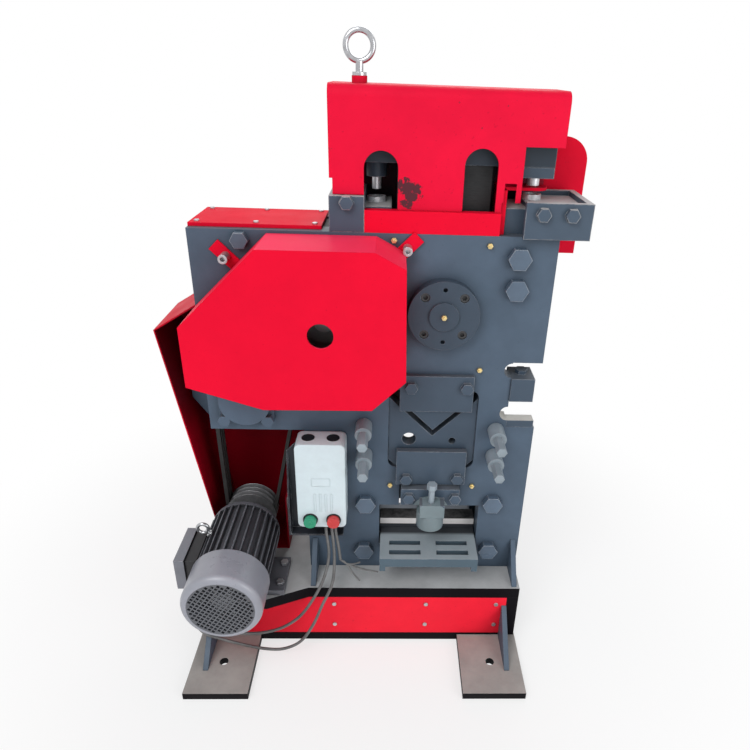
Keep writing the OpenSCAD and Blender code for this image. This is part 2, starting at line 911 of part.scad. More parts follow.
module fan_cowl() {
    color([0.6, 0.6, 0.63])
        difference() {
            translate([motor_c[0], motor_y, motor_c[1]])
                rotate([-90, 0, 0])
                    rotate_extrude($fn = 2 * fine)
                        difference() {
                            cowl_profile(0);
                            cowl_profile(cowl_t);
                        }
            translate([motor_c[0], motor_y, motor_c[1]])
                rotate([0, grille_a, 0])
                    for (i = [-grille_n:grille_n])
                        for (k = [-grille_n:grille_n])
                            if (norm([i, k]) * grille_pitch < grille_r - grille_hole / 2)
                                translate([i, 0, k] * grille_pitch - [grille_hole / 2, over, grille_hole / 2])
                                    cube([grille_hole, cowl_t + 2 * over, grille_hole]);
        }
}

shield_r = cowl_r - cowl_t - touch;
shield_hub_r = 40;
rotor_r = 44;
fan_r = 60;
fan_in = [22, 44];
fan_y = [motor_y + fan_in[0], motor_y + fan_in[1]];
fan_n = 6;
fan_blade_t = 4;
motor_shaft_r = 14;

// End shields close both ends of the housing and carry the rotor
module motor_end_shields() {
    color([0.42, 0.42, 0.45]) {
        difference() {
            union() {
                ycyl(fin_r - over, stator_back, stator_back + web_t, motor_c);
                ycyl(shield_hub_r, stator_back + web_t, shield_back, motor_c);
            }
            ycyl(motor_shaft_r + run_gap, stator_back - over, shield_back + over, motor_c);
        }
        difference() {
            ycyl(shield_r, cowl_back - web_t, cowl_back, motor_c);
            ycyl(motor_shaft_r + run_gap, cowl_back - web_t - over, cowl_back + over, motor_c);
        }
    }
}

// Rotor on its shaft, with the cooling fan pressed on at the front
module motor_rotor() {
    color([0.6, 0.62, 0.65])
        union() {
            ycyl(motor_shaft_r, fan_y[0] - over, wheel_y0 + wheel_w + over, motor_c);
            ycyl(rotor_r, cowl_back + web_t, stator_back - web_t, motor_c);
            ycyl(motor_shaft_r + web_t, fan_y[0], fan_y[1], motor_c);
            for (i = [1:fan_n])
                translate([motor_c[0], fan_y[0] + over, motor_c[1]])
                    rotate([0, i * 360 / fan_n, 0])
                        translate([motor_shaft_r + over, 0, -fan_blade_t / 2])
                            cube([fan_r - motor_shaft_r - over, fan_y[1] - fan_y[0] - 2 * over, fan_blade_t]);
        }
}

module motor_pulley() {
    color([0.3, 0.31, 0.34])
        difference() {
            grooved_wheel(pulley_r, motor_c, wheel_y0);
            ycyl(motor_shaft_r, wheel_y0 - over, wheel_y0 + wheel_w + over, motor_c);
        }
}

term_y = [-210, -110];
term_rise = [-30, 40];
term_base = 26;
term_lid = 22;
term_edge = 5;
gland_r = 9;
gland_h = 14;
term_x = motor_c[0] - stator_r - term_base;
term_z = [motor_c[1] + term_rise[0], motor_c[1] + term_rise[1]];
gland_x = term_x - term_lid / 2;
gland_y = [-190, -165];

// Terminal box on the left flank: base, lid and two glands below it
module terminal_box() {
    color([0.35, 0.35, 0.38])
        difference() {
            block([term_x, motor_c[0] - stator_r], term_y, term_z);
            ycyl(fin_r + touch, term_y[0] - over, term_y[1] + over, motor_c);
        }
    color([0.55, 0.55, 0.58])
        difference() {
            union() {
                block([term_x - term_lid, term_x], [term_y[0] - term_edge, term_y[1] + term_edge],
                    [term_z[0] - term_edge, term_z[1] + term_edge]);
                for (y = gland_y)
                    zcyl(gland_r, term_z[0] - term_edge - gland_h, term_z[0], gland_x, y);
            }
            for (y = gland_y)
                zcyl(lead_d / 2 + touch, term_z[0] - term_edge - gland_h - over, term_z[0], gland_x, y);
        }
}

// Corner of an outline moved inwards by t, for corners listed anticlockwise
function unit(v) = v / norm(v);
function inset_corner(a, b, c, t) =
    let (u = unit(b - a), v = unit(c - b), n = [-u[1] - v[1], u[0] + v[0]])
    b + n * t / (1 + u * v);
function inset(p, t) =
    let (k = len(p))
    [for (i = [0:k - 1]) inset_corner(p[(i + k - 1) % k], p[i], p[(i + 1) % k], t)];

cover_gap = 2;
cover_edge = 1;
cover_drop = 6;
cover_from_shaft = [[61, 38], [-82, 84]];
cover_low = [29, 683];
cover_right = ecc_x - cap_r - cover_gap;
cover_right_z = [746, 967];
cover_slope = 5;
cover_top = frame_top - cover_drop;
cover_top_x = [-176, 33];
cover_left_z = 849;
cover_y = front_y - cover_d;
cover_pts = [[-arm_left + cover_edge, shaft1_c[1] + cover_from_shaft[1][1]], shaft1_c + cover_from_shaft[0],
    cover_low, [cover_right, cover_right_z[0]], [cover_right - cover_slope, cover_right_z[1]],
    [cover_top_x[1], cover_top], [cover_top_x[0], cover_top], [-arm_left + cover_edge, cover_left_z]];
tab_places = [[-255, 952, 45], [92, 976, -45]];
tab_w = 26;
tab_l = 62;
tube_nut_r = 9;
tube_nut_l = 26;

// Folded sheet cover over the front gears, notched below to clear the shaft housing
module gear_cover() {
    notch_w = housing_w / 2 + cover_gap;
    color([0.85, 0.08, 0.14])
        difference() {
            union() {
                xz(cover_y, front_y)
                    polygon(cover_pts);
                for (t = tab_places)
                    xz(front_y - sheet_t, front_y)
                        translate([t[0], t[1]])
                            rotate(t[2])
                                square([tab_w, tab_l], center = true);
            }
            xz(cover_y + sheet_t, front_y + over)
                polygon(inset(cover_pts, sheet_t));
            ycyl(sight_r, cover_y - over, cover_y + sheet_t + over, shaft3_c);
            block([shaft1_c[0] - notch_w, shaft1_c[0] + notch_w],
                [front_y - housing_t - cover_gap, front_y + over],
                [shaft1_c[1] - notch_w, shaft1_c[1] + notch_w]);
        }
}

panel_screw_shares = [-0.94, -0.17, 0.45, 0.93];
panel_screw_z = [55, 122];
screw_r = 5;
screw_h = 3;
strip_x = [-326, -73];
strip_y = [-65, 80];
strip_t = 7;
strip_screw_in = 14;

// Tube nuts of the gear cover, and the button-head screws of the panels and the top strip
module cover_fixings() {
    strip_mid = (strip_x[0] + strip_x[1]) / 2;
    nut_back = front_y - sheet_t;
    color([0.6, 0.62, 0.64]) {
        for (t = tab_places)
            difference() {
                ycyl(tube_nut_r, nut_back - tube_nut_l, nut_back, [t[0], t[1]]);
                ycyl(tube_nut_r / 2, nut_back - tube_nut_l - over, nut_back - tube_nut_l / 2, [t[0], t[1]]);
            }
        for (s = [-1, 1])
            for (k = panel_screw_shares)
                for (z = panel_screw_z)
                    ycyl(screw_r, s * base_y + (s - 1) / 2 * screw_h, s * base_y + (s + 1) / 2 * screw_h,
                        [k * panel_x, z]);
        for (x = [strip_x[0] + strip_screw_in, strip_mid, strip_x[1] - strip_screw_in])
            for (y = [strip_y[0] + strip_screw_in, strip_y[1] - strip_screw_in])
                zcyl(screw_r, frame_top + strip_t, frame_top + strip_t + screw_h, x, y);
    }
}

rear_clear = 9;
rear_cover_d = 60;
gear_tip = gear_m * tip_share;
rear_r4 = gear_m * t_gear3 / 2 + gear_tip + rear_clear + sheet_t;
rear_r3 = gear_m * t_pin3 / 2 + gear_tip + rear_clear + sheet_t;

// Two circles joined by their outer tangents, drawn t inside the cover's outline
module rear_outline(t) {
    lean = 180 - acos((rear_r4 - rear_r3) / d34);
    a = a43 + mesh_a;
    translate(ecc_c)
        circle(r = rear_r4 - t, $fn = 2 * fine);
    translate(shaft3_c)
        circle(r = rear_r3 - t, $fn = 2 * fine);
    polygon([ecc_c + polar(rear_r4 - t, a - lean), ecc_c + polar(rear_r4 - t, a + lean),
        shaft3_c + polar(rear_r3 - t, a + lean), shaft3_c + polar(rear_r3 - t, a - lean)]);
}

module rear_gear_cover() {
    color([0.85, 0.08, 0.14])
        difference() {
            xz(rear_y, rear_y + rear_cover_d)
                rear_outline(0);
            xz(rear_y - over, rear_y + rear_cover_d - sheet_t)
                rear_outline(sheet_t);
        }
}

guard_t = 3;
guard_y = [-20, 150];
guard_pts = [[-350, base_top], [-185, base_top], [-185, 330], [-75, 590], [-75, 715], [-212, 838],
    [-330, 838], [-441, 769]];
guard_cut_x = -329;
guard_cut_z = 505;
guard_gap = 2;

// Belt guard: a folded wall with a back panel, open at the front, stepped round the rear plate
module belt_guard() {
    color([0.8, 0.07, 0.12])
        difference() {
            xz(guard_y[0], guard_y[1])
                polygon(guard_pts);
            xz(guard_y[0] - over, guard_y[1] - guard_t)
                polygon(inset(guard_pts, guard_t));
            block([guard_cut_x, 0], [guard_y[0] - over, rear_y], [guard_cut_z, frame_top]);
            block([-column_left - guard_gap, 0], [guard_y[0] - over, rear_y], [base_top - over, frame_top]);
        }
}

module top_strip() {
    color([0.85, 0.08, 0.14])
        block(strip_x, strip_y, [frame_top, frame_top + strip_t]);
}

// Hood over the crosshead
hood_x = [-56, 374];
sill_x = [9, 267];
sill_y = [-80, -60];
sill_top = 1045;
hood_left_z = 1071;
hood_right_z = 1064;
hood_slot = [270, 292, 1099];
hood_open = [302, 1164];
hood_end_z = 1100;
arch_left = [8, 71, 1150];
arch_right = [193, 255, 1159];
boss_c = [-2, -15];
boss_r = 14;
boss_h = 12;

module hood_shape(t) {
    half = hood_d / 2;
    translate([-half + t, frame_top - (t > 0 ? over : 0)])
        square([hood_d - 2 * t, hood_top - hood_bend_r - frame_top + (t > 0 ? over : 0)]);
    translate([-half + hood_bend_r, frame_top])
        square([hood_d - 2 * hood_bend_r, hood_top - t - frame_top]);
    for (s = [-1, 1])
        translate([s * (half - hood_bend_r), hood_top - hood_bend_r])
            circle(r = hood_bend_r - t, $fn = fine);
}

module along_x(x) {
    translate([x[0], 0, 0])
        rotate([90, 0, 90])
            linear_extrude(x[1] - x[0])
                children();
}

module arch(a, y) {
    r = (a[1] - a[0]) / 2;
    block([a[0], a[1]], y, [frame_top, a[2] - r]);
    ycyl(r, y[0], y[1], [a[0] + r, a[2] - r]);
}

module hood() {
    wall = [-hood_d / 2 - over, -hood_d / 2 + hood_bend_r];
    low = frame_top - over;
    color([0.85, 0.08, 0.14])
        difference() {
            union() {
                along_x(hood_x)
                    hood_shape(0);
                zcyl(boss_r, hood_top - over, hood_top + boss_h, boss_c[0], boss_c[1]);
            }
            along_x([hood_x[0] + sheet_t, hood_x[1] - sheet_t])
                hood_shape(sheet_t);
            block([hood_x[0] - over, hood_x[1] + over], wall, [low, sill_top]);
            block([hood_x[0] - over, arch_left[0]], wall, [low, hood_left_z]);
            block([sill_x[1], hood_x[1] + over], wall, [low, hood_right_z]);
            block([hood_slot[0], hood_slot[1]], wall, [low, hood_slot[2]]);
            block([hood_open[0], hood_x[1] + over], [wall[0], hood_d / 2 - sheet_t], [low, hood_open[1]]);
            block([hood_x[0] - over, hood_x[0] + sheet_t + over], [wall[0], hood_d / 2 - sheet_t],
                [low, hood_end_z]);
            arch(arch_left, wall);
            arch(arch_right, wall);
        }
}

punch_r_c = [337, 0];
punch_r_r = 12;
punch_l_c = [30, 0];
punch_l_r = 9;
tongue_z = [1080, 1086];
leg_y = -66;
tongue_half = 28;
tongue_leg = 10;

// Sill under the hood's front, and the stripper tongue that the right punch passes through
module hood_sill() {
    leg_x = [sill_x[1] - over, sill_x[1] + tongue_leg];
    color([0.85, 0.08, 0.14])
        difference() {
            union() {
                block(sill_x, sill_y, [frame_top, sill_top]);
                block(leg_x, [leg_y, tongue_half], [frame_top, tongue_z[1]]);
                block([leg_x[0], punch_r_c[0]], [-tongue_half, tongue_half], tongue_z);
                zcyl(tongue_half, tongue_z[0], tongue_z[1], punch_r_c[0], punch_r_c[1]);
            }
            zcyl(punch_r_r + over, tongue_z[0] - over, tongue_z[1] + over, punch_r_c[0], punch_r_c[1]);
        }
}

plate_right = 462;
plate_z = [932, 1172];
plate_left = 305;
plate_r = 50;

// Red plate behind the right punch station, bolted to the back of the rear plate
module punch_guard() {
    foot = ecc_x + rear_r4 + cover_gap;
    lip = frame_top + cover_edge;
    color([0.85, 0.08, 0.14])
        xz(rear_y, rear_y + sheet_t) {
            translate([plate_left, lip])
                square([plate_right - plate_r - plate_left, plate_z[1] - lip]);
            translate([foot, plate_z[0]])
                square([plate_right - foot, plate_z[1] - plate_r - plate_z[0]]);
            translate([plate_right - plate_r, plate_z[1] - plate_r])
                circle(r = plate_r, $fn = fine);
        }
}

eye_ring_r = 24.5;
eye_wire_r = 5.2;
eye_c_h = 60;
eye_neck_r = 7;
eye_flange_r = 13;
eye_flange_h = 6;
small_eye_r = 12;
small_wire_r = 4;
small_eye_y = -140;
small_eye_out = 14;

module ring(r, wire) {
    rotate([90, 0, 0])
        rotate_extrude($fn = fine)
            translate([r, 0])
                circle(r = wire, $fn = fine / 2);
}

// Lifting eyes of the machine and of the motor
module eye_bolts() {
    top = hood_top + boss_h;
    centre_z = hood_top + eye_c_h;
    color([0.3, 0.34, 0.39])
        union() {
            zcyl(eye_flange_r, top, top + eye_flange_h, boss_c[0], boss_c[1]);
            zcyl(eye_neck_r, top, centre_z - eye_ring_r, boss_c[0], boss_c[1]);
            translate([boss_c[0], boss_c[1], centre_z])
                ring(eye_ring_r, eye_wire_r);
        }
    color([0.5, 0.5, 0.53])
        translate([motor_c[0], small_eye_y, motor_c[1]])
            rotate([0, -45, 0])
                union() {
                    zcyl(small_wire_r * 2, fin_r + touch, fin_r + small_wire_r, 0, 0);
                    zcyl(small_wire_r, fin_r + touch, fin_r + small_eye_out, 0, 0);
                    translate([0, 0, fin_r + small_eye_out + small_eye_r - small_wire_r])
                        ring(small_eye_r, small_wire_r);
                }
}

// Fixed tools at the shear windows
guide_block_x = [85, 242];
guide_block_h = 85;
guide_block_top = vee_top + guide_block_h;
guide_block_y = [-92, -80];
clamp_x = [81, 238];
clamp_drop = 101;
clamp_z = [432, vee_top - clamp_drop];
clamp_y = [-95, -80];
tool_bolt_af = 24;
tool_bolt_h = 10;
guide_bolt_up = 59;
guide_bolts = [[109, vee_top + guide_bolt_up], [227, vee_top + guide_bolt_up]];
clamp_bolts = [[104, 449], [220, 451]];
blade_y = [-76, -44];
throat_blade_t = 17;
throat_blade_d = 26;
throat_block_w = 51;
throat_block_y = [-84, -20];
throat_block_z = [646, 700];
throat_bolt_y = -50;

module shear_blocks() {
    rise = vee_w * sqrt(2);
    color([0.33, 0.37, 0.42]) {
        union() {
            block(guide_block_x, guide_block_y, [vee_top, guide_block_top]);
            xz(guide_block_y[1] - over, blade_y[1])
                polygon([[vee_x[0], vee_top + rise], vee_apex + [0, rise], [vee_x[1], vee_top + rise],
                    [vee_x[1], window_b[1]], [vee_x[0], window_b[1]]]);
            for (c = guide_bolts)
                yhex(tool_bolt_af, guide_block_y[0] - tool_bolt_h, guide_block_y[0], c);
        }
        union() {
            block(clamp_x, clamp_y, clamp_z);
            for (c = clamp_bolts)
                yhex(tool_bolt_af, clamp_y[0] - tool_bolt_h, clamp_y[0], c);
        }
        union() {
            block([throat_in, throat_in + throat_block_w], throat_block_y, throat_block_z);
            translate([throat_in + throat_block_w / 2, throat_bolt_y, throat_block_z[1]])
                cylinder(d = tool_bolt_af / cos(30), h = tool_bolt_h, $fn = 6);
        }
    }
}

blade_side_up = 26;
blade_side_z = vee_top + blade_side_up;

// Lower blade with the angle notch and the bar holes, and the flat blade in the throat
module shear_blades() {
    left = window_a[0] + touch;
    right = window_b[0] - touch;
    color([0.55, 0.57, 0.6]) {
        difference() {
            xz(blade_y[0], blade_y[1])
                polygon([[left + window_r, window_a[1]], [right - window_r, window_a[1]],
                    [right, window_a[1] + window_r], [right, blade_side_z], [vee_x[1], vee_top], vee_apex,
                    [vee_x[0], vee_top], [left, blade_side_z], [left, window_a[1] + window_r]]);
            ycyl(bar_round_r, blade_y[0] - over, blade_y[1] + over, bar_round_c);
            ycyl(bar_small_r, blade_y[0] - over, blade_y[1] + over, bar_small_c);
        }
        block([throat_in, frame_right - spacer_edge], [front_y, front_y + throat_blade_d],
            [throat_z[0], throat_z[0] + throat_blade_t]);
    }
}

// Punch stations on top of the frame
left_x = [-57, 9];
left_back_x = 60;
left_y = [-80, 60];
left_back_y = -58;
left_low_top = 1046;
left_top = 1070;
left_seat = 1048;
left_ring_top = 1058;
right_block_x = [277, 318];
right_block_y = [-60, 44];
right_block_top = 1052;
seat_x = [318, 424];
seat_y = [-88, 44];
right_seat = 1061;
right_ring_top = 1071;
ring_r = 18.5;
slug_r = 14;

module left_die() {
    color([0.3, 0.34, 0.39]) {
        difference() {
            union() {
                block(left_x, left_y, [frame_top, left_low_top]);
                block([left_x[0], left_back_x], [left_back_y, left_y[1]], [frame_top, left_seat]);
            }
            zcyl(slug_r, frame_top - over, left_seat + over, punch_l_c[0], punch_l_c[1]);
        }
        union() {
            block(left_x, left_y, [left_low_top, left_top]);
            yhex(tool_bolt_af, left_y[0] - tool_bolt_h, left_y[0],
                [(left_x[0] + left_x[1]) / 2, (left_low_top + left_top) / 2]);
        }
    }
}

module right_die() {
    color([0.3, 0.34, 0.39]) {
        block(right_block_x, right_block_y, [frame_top, right_block_top]);
        difference() {
            block(seat_x, seat_y, [frame_top, right_seat]);
            zcyl(slug_r, frame_top - over, right_seat + over, punch_r_c[0], punch_r_c[1]);
        }
    }
}

bracket_t = 12;
bracket_x = [309, 436];
bracket_top = 1071;
bracket_bolts = [[342, 1050], [396, 1050]];

// Bracket bent round the right die seat
module die_bracket() {
    color([0.33, 0.37, 0.42])
        union() {
            block(bracket_x, [seat_y[0] - bracket_t, seat_y[0]], [frame_top, bracket_top]);
            block([seat_x[1], bracket_x[1]], [seat_y[0] - bracket_t, seat_y[1] + bracket_t],
                [frame_top, bracket_top]);
            block([seat_x[0], bracket_x[1]], [seat_y[1], seat_y[1] + bracket_t], [frame_top, bracket_top]);
            for (c = bracket_bolts)
                yhex(tool_bolt_af, seat_y[0] - bracket_t - tool_bolt_h, seat_y[0] - bracket_t, c);
        }
}

punch_gap = 0.4;

module die_rings() {
    color([0.75, 0.76, 0.78]) {
        difference() {
            zcyl(ring_r, left_seat, left_ring_top, punch_l_c[0], punch_l_c[1]);
            zcyl(punch_l_r + punch_gap, left_seat - over, left_ring_top + over, punch_l_c[0], punch_l_c[1]);
        }
        difference() {
            zcyl(ring_r, right_seat, right_ring_top, punch_r_c[0], punch_r_c[1]);
            zcyl(punch_r_r + punch_gap, right_seat - over, right_ring_top + over,
                punch_r_c[0], punch_r_c[1]);
        }
    }
}

holder_x = [303, 366];
holder_y = [-45, 45];
holder_bottom = 1106;
nut_r = 20;
nut_h = 30;
punch_bite = 4;

module punch_holder() {
    color([0.3, 0.34, 0.39]) {
        block(holder_x, holder_y, [holder_bottom, head_bottom]);
        zcyl(nut_r, head_bottom - nut_h, head_bottom, punch_l_c[0], punch_l_c[1]);
    }
}

notch_x = 162;
notch_y = -109;
holder_n_x = [93, 227];
holder_n_y = [-110, front_in + slide_gap];
holder_n_z = [385, 429];
holder_clear = 3;
notch_block_x = [136, 192];
notch_block_y = [-140, -81];
notch_block_bottom = 371;
notch_block_top = 406;
collar_r = 31.5;
collar_bottom = 332;

// Punches of both stations
module punches() {
    color([0.75, 0.76, 0.78]) {
        zcyl(punch_l_r, left_ring_top + stroke - punch_bite, head_bottom - nut_h,
            punch_l_c[0], punch_l_c[1]);
        zcyl(punch_r_r, right_ring_top + stroke - punch_bite / 2, holder_bottom,
            punch_r_c[0], punch_r_c[1]);
    }
}

screw_y = -125;
screw_out = 36;
screw_shank_r = 7;
screw_head_af = 20;
screw_head_h = 14;
notch_bolt_x = [111, 217];

module notch_holder() {
    color([0.33, 0.37, 0.42])
        difference() {
            union() {
                block(holder_n_x, holder_n_y, holder_n_z);
                block(notch_block_x, notch_block_y, [notch_block_bottom, notch_block_top]);
                zcyl(collar_r, collar_bottom, notch_block_bottom + over, notch_x, notch_y);
                for (x = notch_bolt_x)
                    yhex(tool_bolt_af, holder_n_y[0] - tool_bolt_h, holder_n_y[0],
                        [x, (holder_n_z[0] + holder_n_z[1]) / 2]);
            }
            zcyl(screw_shank_r + run_gap, notch_block_bottom + over, notch_block_top + over,
                notch_x, screw_y);
        }
}

module notch_screw() {
    color([0.6, 0.62, 0.64])
        union() {
            zcyl(screw_shank_r, notch_block_bottom + 2 * over, notch_block_top + screw_out, notch_x, screw_y);
            translate([notch_x, screw_y, notch_block_top + screw_out])
                cylinder(d = screw_head_af / cos(30), h = screw_head_h, $fn = 6);
        }
}

notch_die_d = 38;
notch_die_h = 50;

// Ground bed of the notcher, behind the table
module notch_die() {
    color([0.8, 0.81, 0.83])
        block([notch_a[0] + over, notch_b[0] - over], [table_y[1], table_y[1] + notch_die_d],
            [notch_a[1], notch_a[1] + notch_die_h]);
}

table_x = [47, 276];
table_y = [-160, -45];
table_t = 24;
cheek_t = 14;
cheek_drop = 13;
slot_x = [[69, 143], [180, 255]];
slot_y = [-137, -104];
slot_w = 14;

module notch_table() {
    color([0.36, 0.4, 0.45])
        difference() {
            union() {
                block(table_x, table_y, [notch_a[1], notch_a[1] + table_t]);
                for (x = [table_x[0], table_x[1] - cheek_t])
                    block([x, x + cheek_t], [table_y[0], front_y],
                        [notch_a[1] - cheek_drop, notch_a[1] + touch]);
            }
            for (x = slot_x)
                for (y = slot_y)
                    block(x, [y - slot_w / 2, y + slot_w / 2],
                        [notch_a[1] - over, notch_a[1] + table_t + over]);
        }
}

// Starter with its two buttons, on a bracket
bracket_sheet = 4;
box_right = -30;
box_top = 564;
box_r = 12;
box_wall = 3;
box_back = front_y - bracket_sheet;
box_front = box_back - box_d;
box_left = box_right - box_w;
knock_r = 14;
knock_h = 1.5;
knock_x = [27, 81];
button_x = [-110, -58];
button_up = 21;
button_out = 14;
button_in = 6;
lip_r = 2;
lip_t = 2;

bezel_r = 16.5;
bezel_h = 3;
exit_clear = 1.5;
label_h = 1;
label_x = [-104, -64];
label_z = [457, 477];
rib_x = [-100, -88, -76, -64];
rib_w = 4;
rib_z = [388, 436];

// Moulded box with a blank label panel, vent ribs, button rings and knock-outs
module starter_box() {
    low = box_top - box_h;
    face = [box_front - label_h, box_front + over];
    color([0.88, 0.92, 0.93])
        difference() {
            union() {
                xz(box_front, box_back)
                    rrect([box_left, box_top - box_h], [box_right, box_top], box_r);
                for (x = knock_x)
                    zcyl(knock_r, box_top - box_wall, box_top + knock_h,
                        box_left + x, (box_front + box_back) / 2);
                for (x = button_x)
                    ycyl(bezel_r, box_front - bezel_h, box_front + over, [x, low + button_up]);
                block(label_x, face, label_z);
                for (x = rib_x)
                    block([x, x + rib_w], face, rib_z);
            }
            xz(box_front + box_wall, box_back + over)
                rrect([box_left + box_wall, box_top - box_h + box_wall],
                    [box_right - box_wall, box_top - box_wall], box_r - box_wall);
            for (x = button_x)
                ycyl(button_r + touch, box_front - bezel_h - over, box_front + box_wall + over,
                    [x, low + button_up]);
            for (c = lead_exit)
                zcyl(lead_d / 2 + exit_clear, low - over, low + box_wall + over,
                    c[0], c[1]);
        }
}

tray_x = [-165, -40];
tray_z = [293, 540];
tray_slope = 512;
tray_d = 30;
tray_bend = 380;

module starter_bracket() {
    color([0.7, 0.72, 0.75])
        union() {
            block([tray_x[0], tray_x[1]], [box_back, front_y], [tray_z[0], tray_slope]);
            xz(box_back, front_y)
                polygon([[tray_x[0], tray_slope], [tray_x[1], tray_slope], [tray_x[1], tray_z[1]],
                    [box_left, tray_z[1]]]);
            block([tray_x[0], tray_x[1]], [front_y - tray_d, front_y],
                [tray_z[0], tray_z[0] + bracket_sheet]);
            along_x([tray_x[0], tray_x[0] + bracket_sheet])
                polygon([[front_y, tray_z[0]], [front_y - tray_d, tray_z[0]], [front_y - tray_d, tray_bend],
                    [box_back, tray_slope], [front_y, tray_slope]]);
        }
}

module button(x) {
    c = [x, box_top - box_h + button_up];
    union() {
        ycyl(button_r, box_front - button_out, box_front + box_wall + button_in, c);
        ycyl(button_r + lip_r, box_front + box_wall + touch, box_front + box_wall + touch + lip_t, c);
    }
}

module start_button() {
    color([0.16, 0.63, 0.43])
        button(button_x[0]);
}

module stop_button() {
    color([0.92, 0.2, 0.2])
        button(button_x[1]);
}

// Leads: round tubes swept along smooth curves through chosen points
lead_sides = 8;
lead_steps = 4;
lead_exit = [[-80, -112], [-68, -112], [-56, -112]];
exit_z = box_top - box_h;
gland_z = term_z[0] - term_edge - gland_h;
gland_steps = [-22, -8, 8];
function gland_run(y) = [for (h = gland_steps) [gland_x, y, gland_z + h]];
lead_a = [[lead_exit[0][0], lead_exit[0][1], exit_z + box_wall], [-78, -122, 318], [-71, -142, 262],
    [-84, -160, 204], [-110, -174, 152], [-142, -186, 110], [-184, -195, 84], [-234, -199, 72],
    [-288, -200, 72], [-336, -204, 84], [-369, -203, 106], [-386, -200, 138], [-391, -196, 168],
    each gland_run(gland_y[0])];
lead_b = [[lead_exit[1][0], lead_exit[1][1], exit_z + box_wall], [-64, -124, 318], [-58, -148, 262],
    [-62, -170, 204], [-86, -186, 148], [-108, -197, 96], [-138, -206, 52], [-178, -211, 33],
    [-222, -212, 34], [-272, -212, 48], [-320, -215, 70], [-362, -210, 86], [-391, -186, 110],
    [-393, -170, 152], each gland_run(gland_y[1])];
tail = [[lead_exit[2][0], lead_exit[2][1], exit_z + box_wall], [-56, -122, 318], [-50, -131, 284],
    [-45, -139, 246]];
core_d = 4;
core_ends = [[2, -150, 249], [44, -150, 219], [1, -152, 193]];
core_bend = [14, -5, -7];
core_drop = [0, -1, -3];

function smooth(p, i, u) =
    let (k = len(p) - 1, a = p[max(i - 1, 0)], b = p[i], c = p[min(i + 1, k)], d = p[min(i + 2, k)])
    b + (c - a) * u / 2 + (2 * a - 5 * b + 4 * c - d) * u * u / 2 + (3 * b - a - 3 * c + d) * u * u * u / 2;
function route(p, steps) = concat(
    [for (i = [0:len(p) - 2]) for (k = [0:steps - 1]) smooth(p, i, k / steps)],
    [p[len(p) - 1]]);
function heading(q, i) = unit(q[min(i + 1, len(q) - 1)] - q[max(i - 1, 0)]);
function tube_ring(c, t, r) =
    let (u = unit(cross(t, [0, 1, 0])), v = cross(t, u))
    [for (k = [0:lead_sides - 1]) c + r * (cos(k * 360 / lead_sides) * u + sin(k * 360 / lead_sides) * v)];

module tube(p, d, steps) {
    q = route(p, steps);
    n = len(q);
    m = lead_sides;
    polyhedron(
        points = [for (i = [0:n - 1]) each tube_ring(q[i], heading(q, i), d / 2)],
        faces = concat(
            [[for (k = [0:m - 1]) k]],
            [for (i = [0:n - 2]) for (k = [0:m - 1])
                each [[i * m + k, (i + 1) * m + k, i * m + (k + 1) % m],
                    [i * m + (k + 1) % m, (i + 1) * m + k, (i + 1) * m + (k + 1) % m]]],
            [[for (k = [m - 1:-1:0]) (n - 1) * m + k]]));
}

module motor_leads() {
    color([0.35, 0.34, 0.33]) {
        tube(lead_a, lead_d, lead_steps);
        tube(lead_b, lead_d, lead_steps);
    }
}

// Short tail for the mains, with its cores fanned out
module supply_tail() {
    end = tail[len(tail) - 1];
    color([0.35, 0.34, 0.33]) {
        tube(tail, lead_d, lead_steps);
        for (e = core_ends)
            tube([end, end + core_bend, (end + core_bend + e) / 2 + core_drop, e], core_d, lead_steps);
    }
}

foot_plates();
base_top_plate();
base_walls();
base_panels();
gussets();
front_plate();
rear_plate();
frame_spacers();
frame_bolts();
adjusting_studs();
grease_nipples();
slide();
crosshead();
eccentric_shaft();
eccentric_gear();
shaft_bushes();
bearing_cap();
cap_screws();
flywheel_shaft();
flywheel();
shaft_housings();
second_shaft();
first_gear();
gear_shaft();
second_gear();
drive_belts();
motor_housing();
fan_cowl();
motor_end_shields();
terminal_box();
motor_rotor();
motor_pulley();
motor_bolts();
gear_cover();
cover_fixings();
rear_gear_cover();
belt_guard();
top_strip();
hood();
hood_sill();
punch_guard();
eye_bolts();
shear_blocks();
shear_blades();
left_die();
right_die();
die_bracket();
die_rings();
punch_holder();
punches();
notch_holder();
notch_screw();
notch_table();
notch_die();
starter_box();
starter_bracket();
start_button();
stop_button();
motor_leads();
supply_tail();
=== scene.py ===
"""Looks of a mechanical ironworker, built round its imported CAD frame."""
import math

import bpy
from mathutils import Euler, Matrix, Vector


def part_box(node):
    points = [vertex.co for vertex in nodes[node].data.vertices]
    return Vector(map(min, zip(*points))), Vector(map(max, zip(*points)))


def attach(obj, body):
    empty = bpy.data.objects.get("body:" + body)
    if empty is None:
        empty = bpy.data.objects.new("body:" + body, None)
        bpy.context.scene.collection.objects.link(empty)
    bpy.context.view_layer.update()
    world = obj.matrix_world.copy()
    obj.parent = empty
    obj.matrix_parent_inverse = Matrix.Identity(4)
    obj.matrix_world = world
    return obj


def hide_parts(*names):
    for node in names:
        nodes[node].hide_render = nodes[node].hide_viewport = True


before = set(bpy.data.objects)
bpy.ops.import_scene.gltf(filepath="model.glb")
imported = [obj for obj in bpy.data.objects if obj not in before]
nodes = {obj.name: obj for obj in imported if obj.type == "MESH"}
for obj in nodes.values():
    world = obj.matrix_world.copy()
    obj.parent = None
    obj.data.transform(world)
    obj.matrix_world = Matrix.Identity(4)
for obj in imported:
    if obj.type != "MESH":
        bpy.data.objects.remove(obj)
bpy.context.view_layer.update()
MM = 0.001

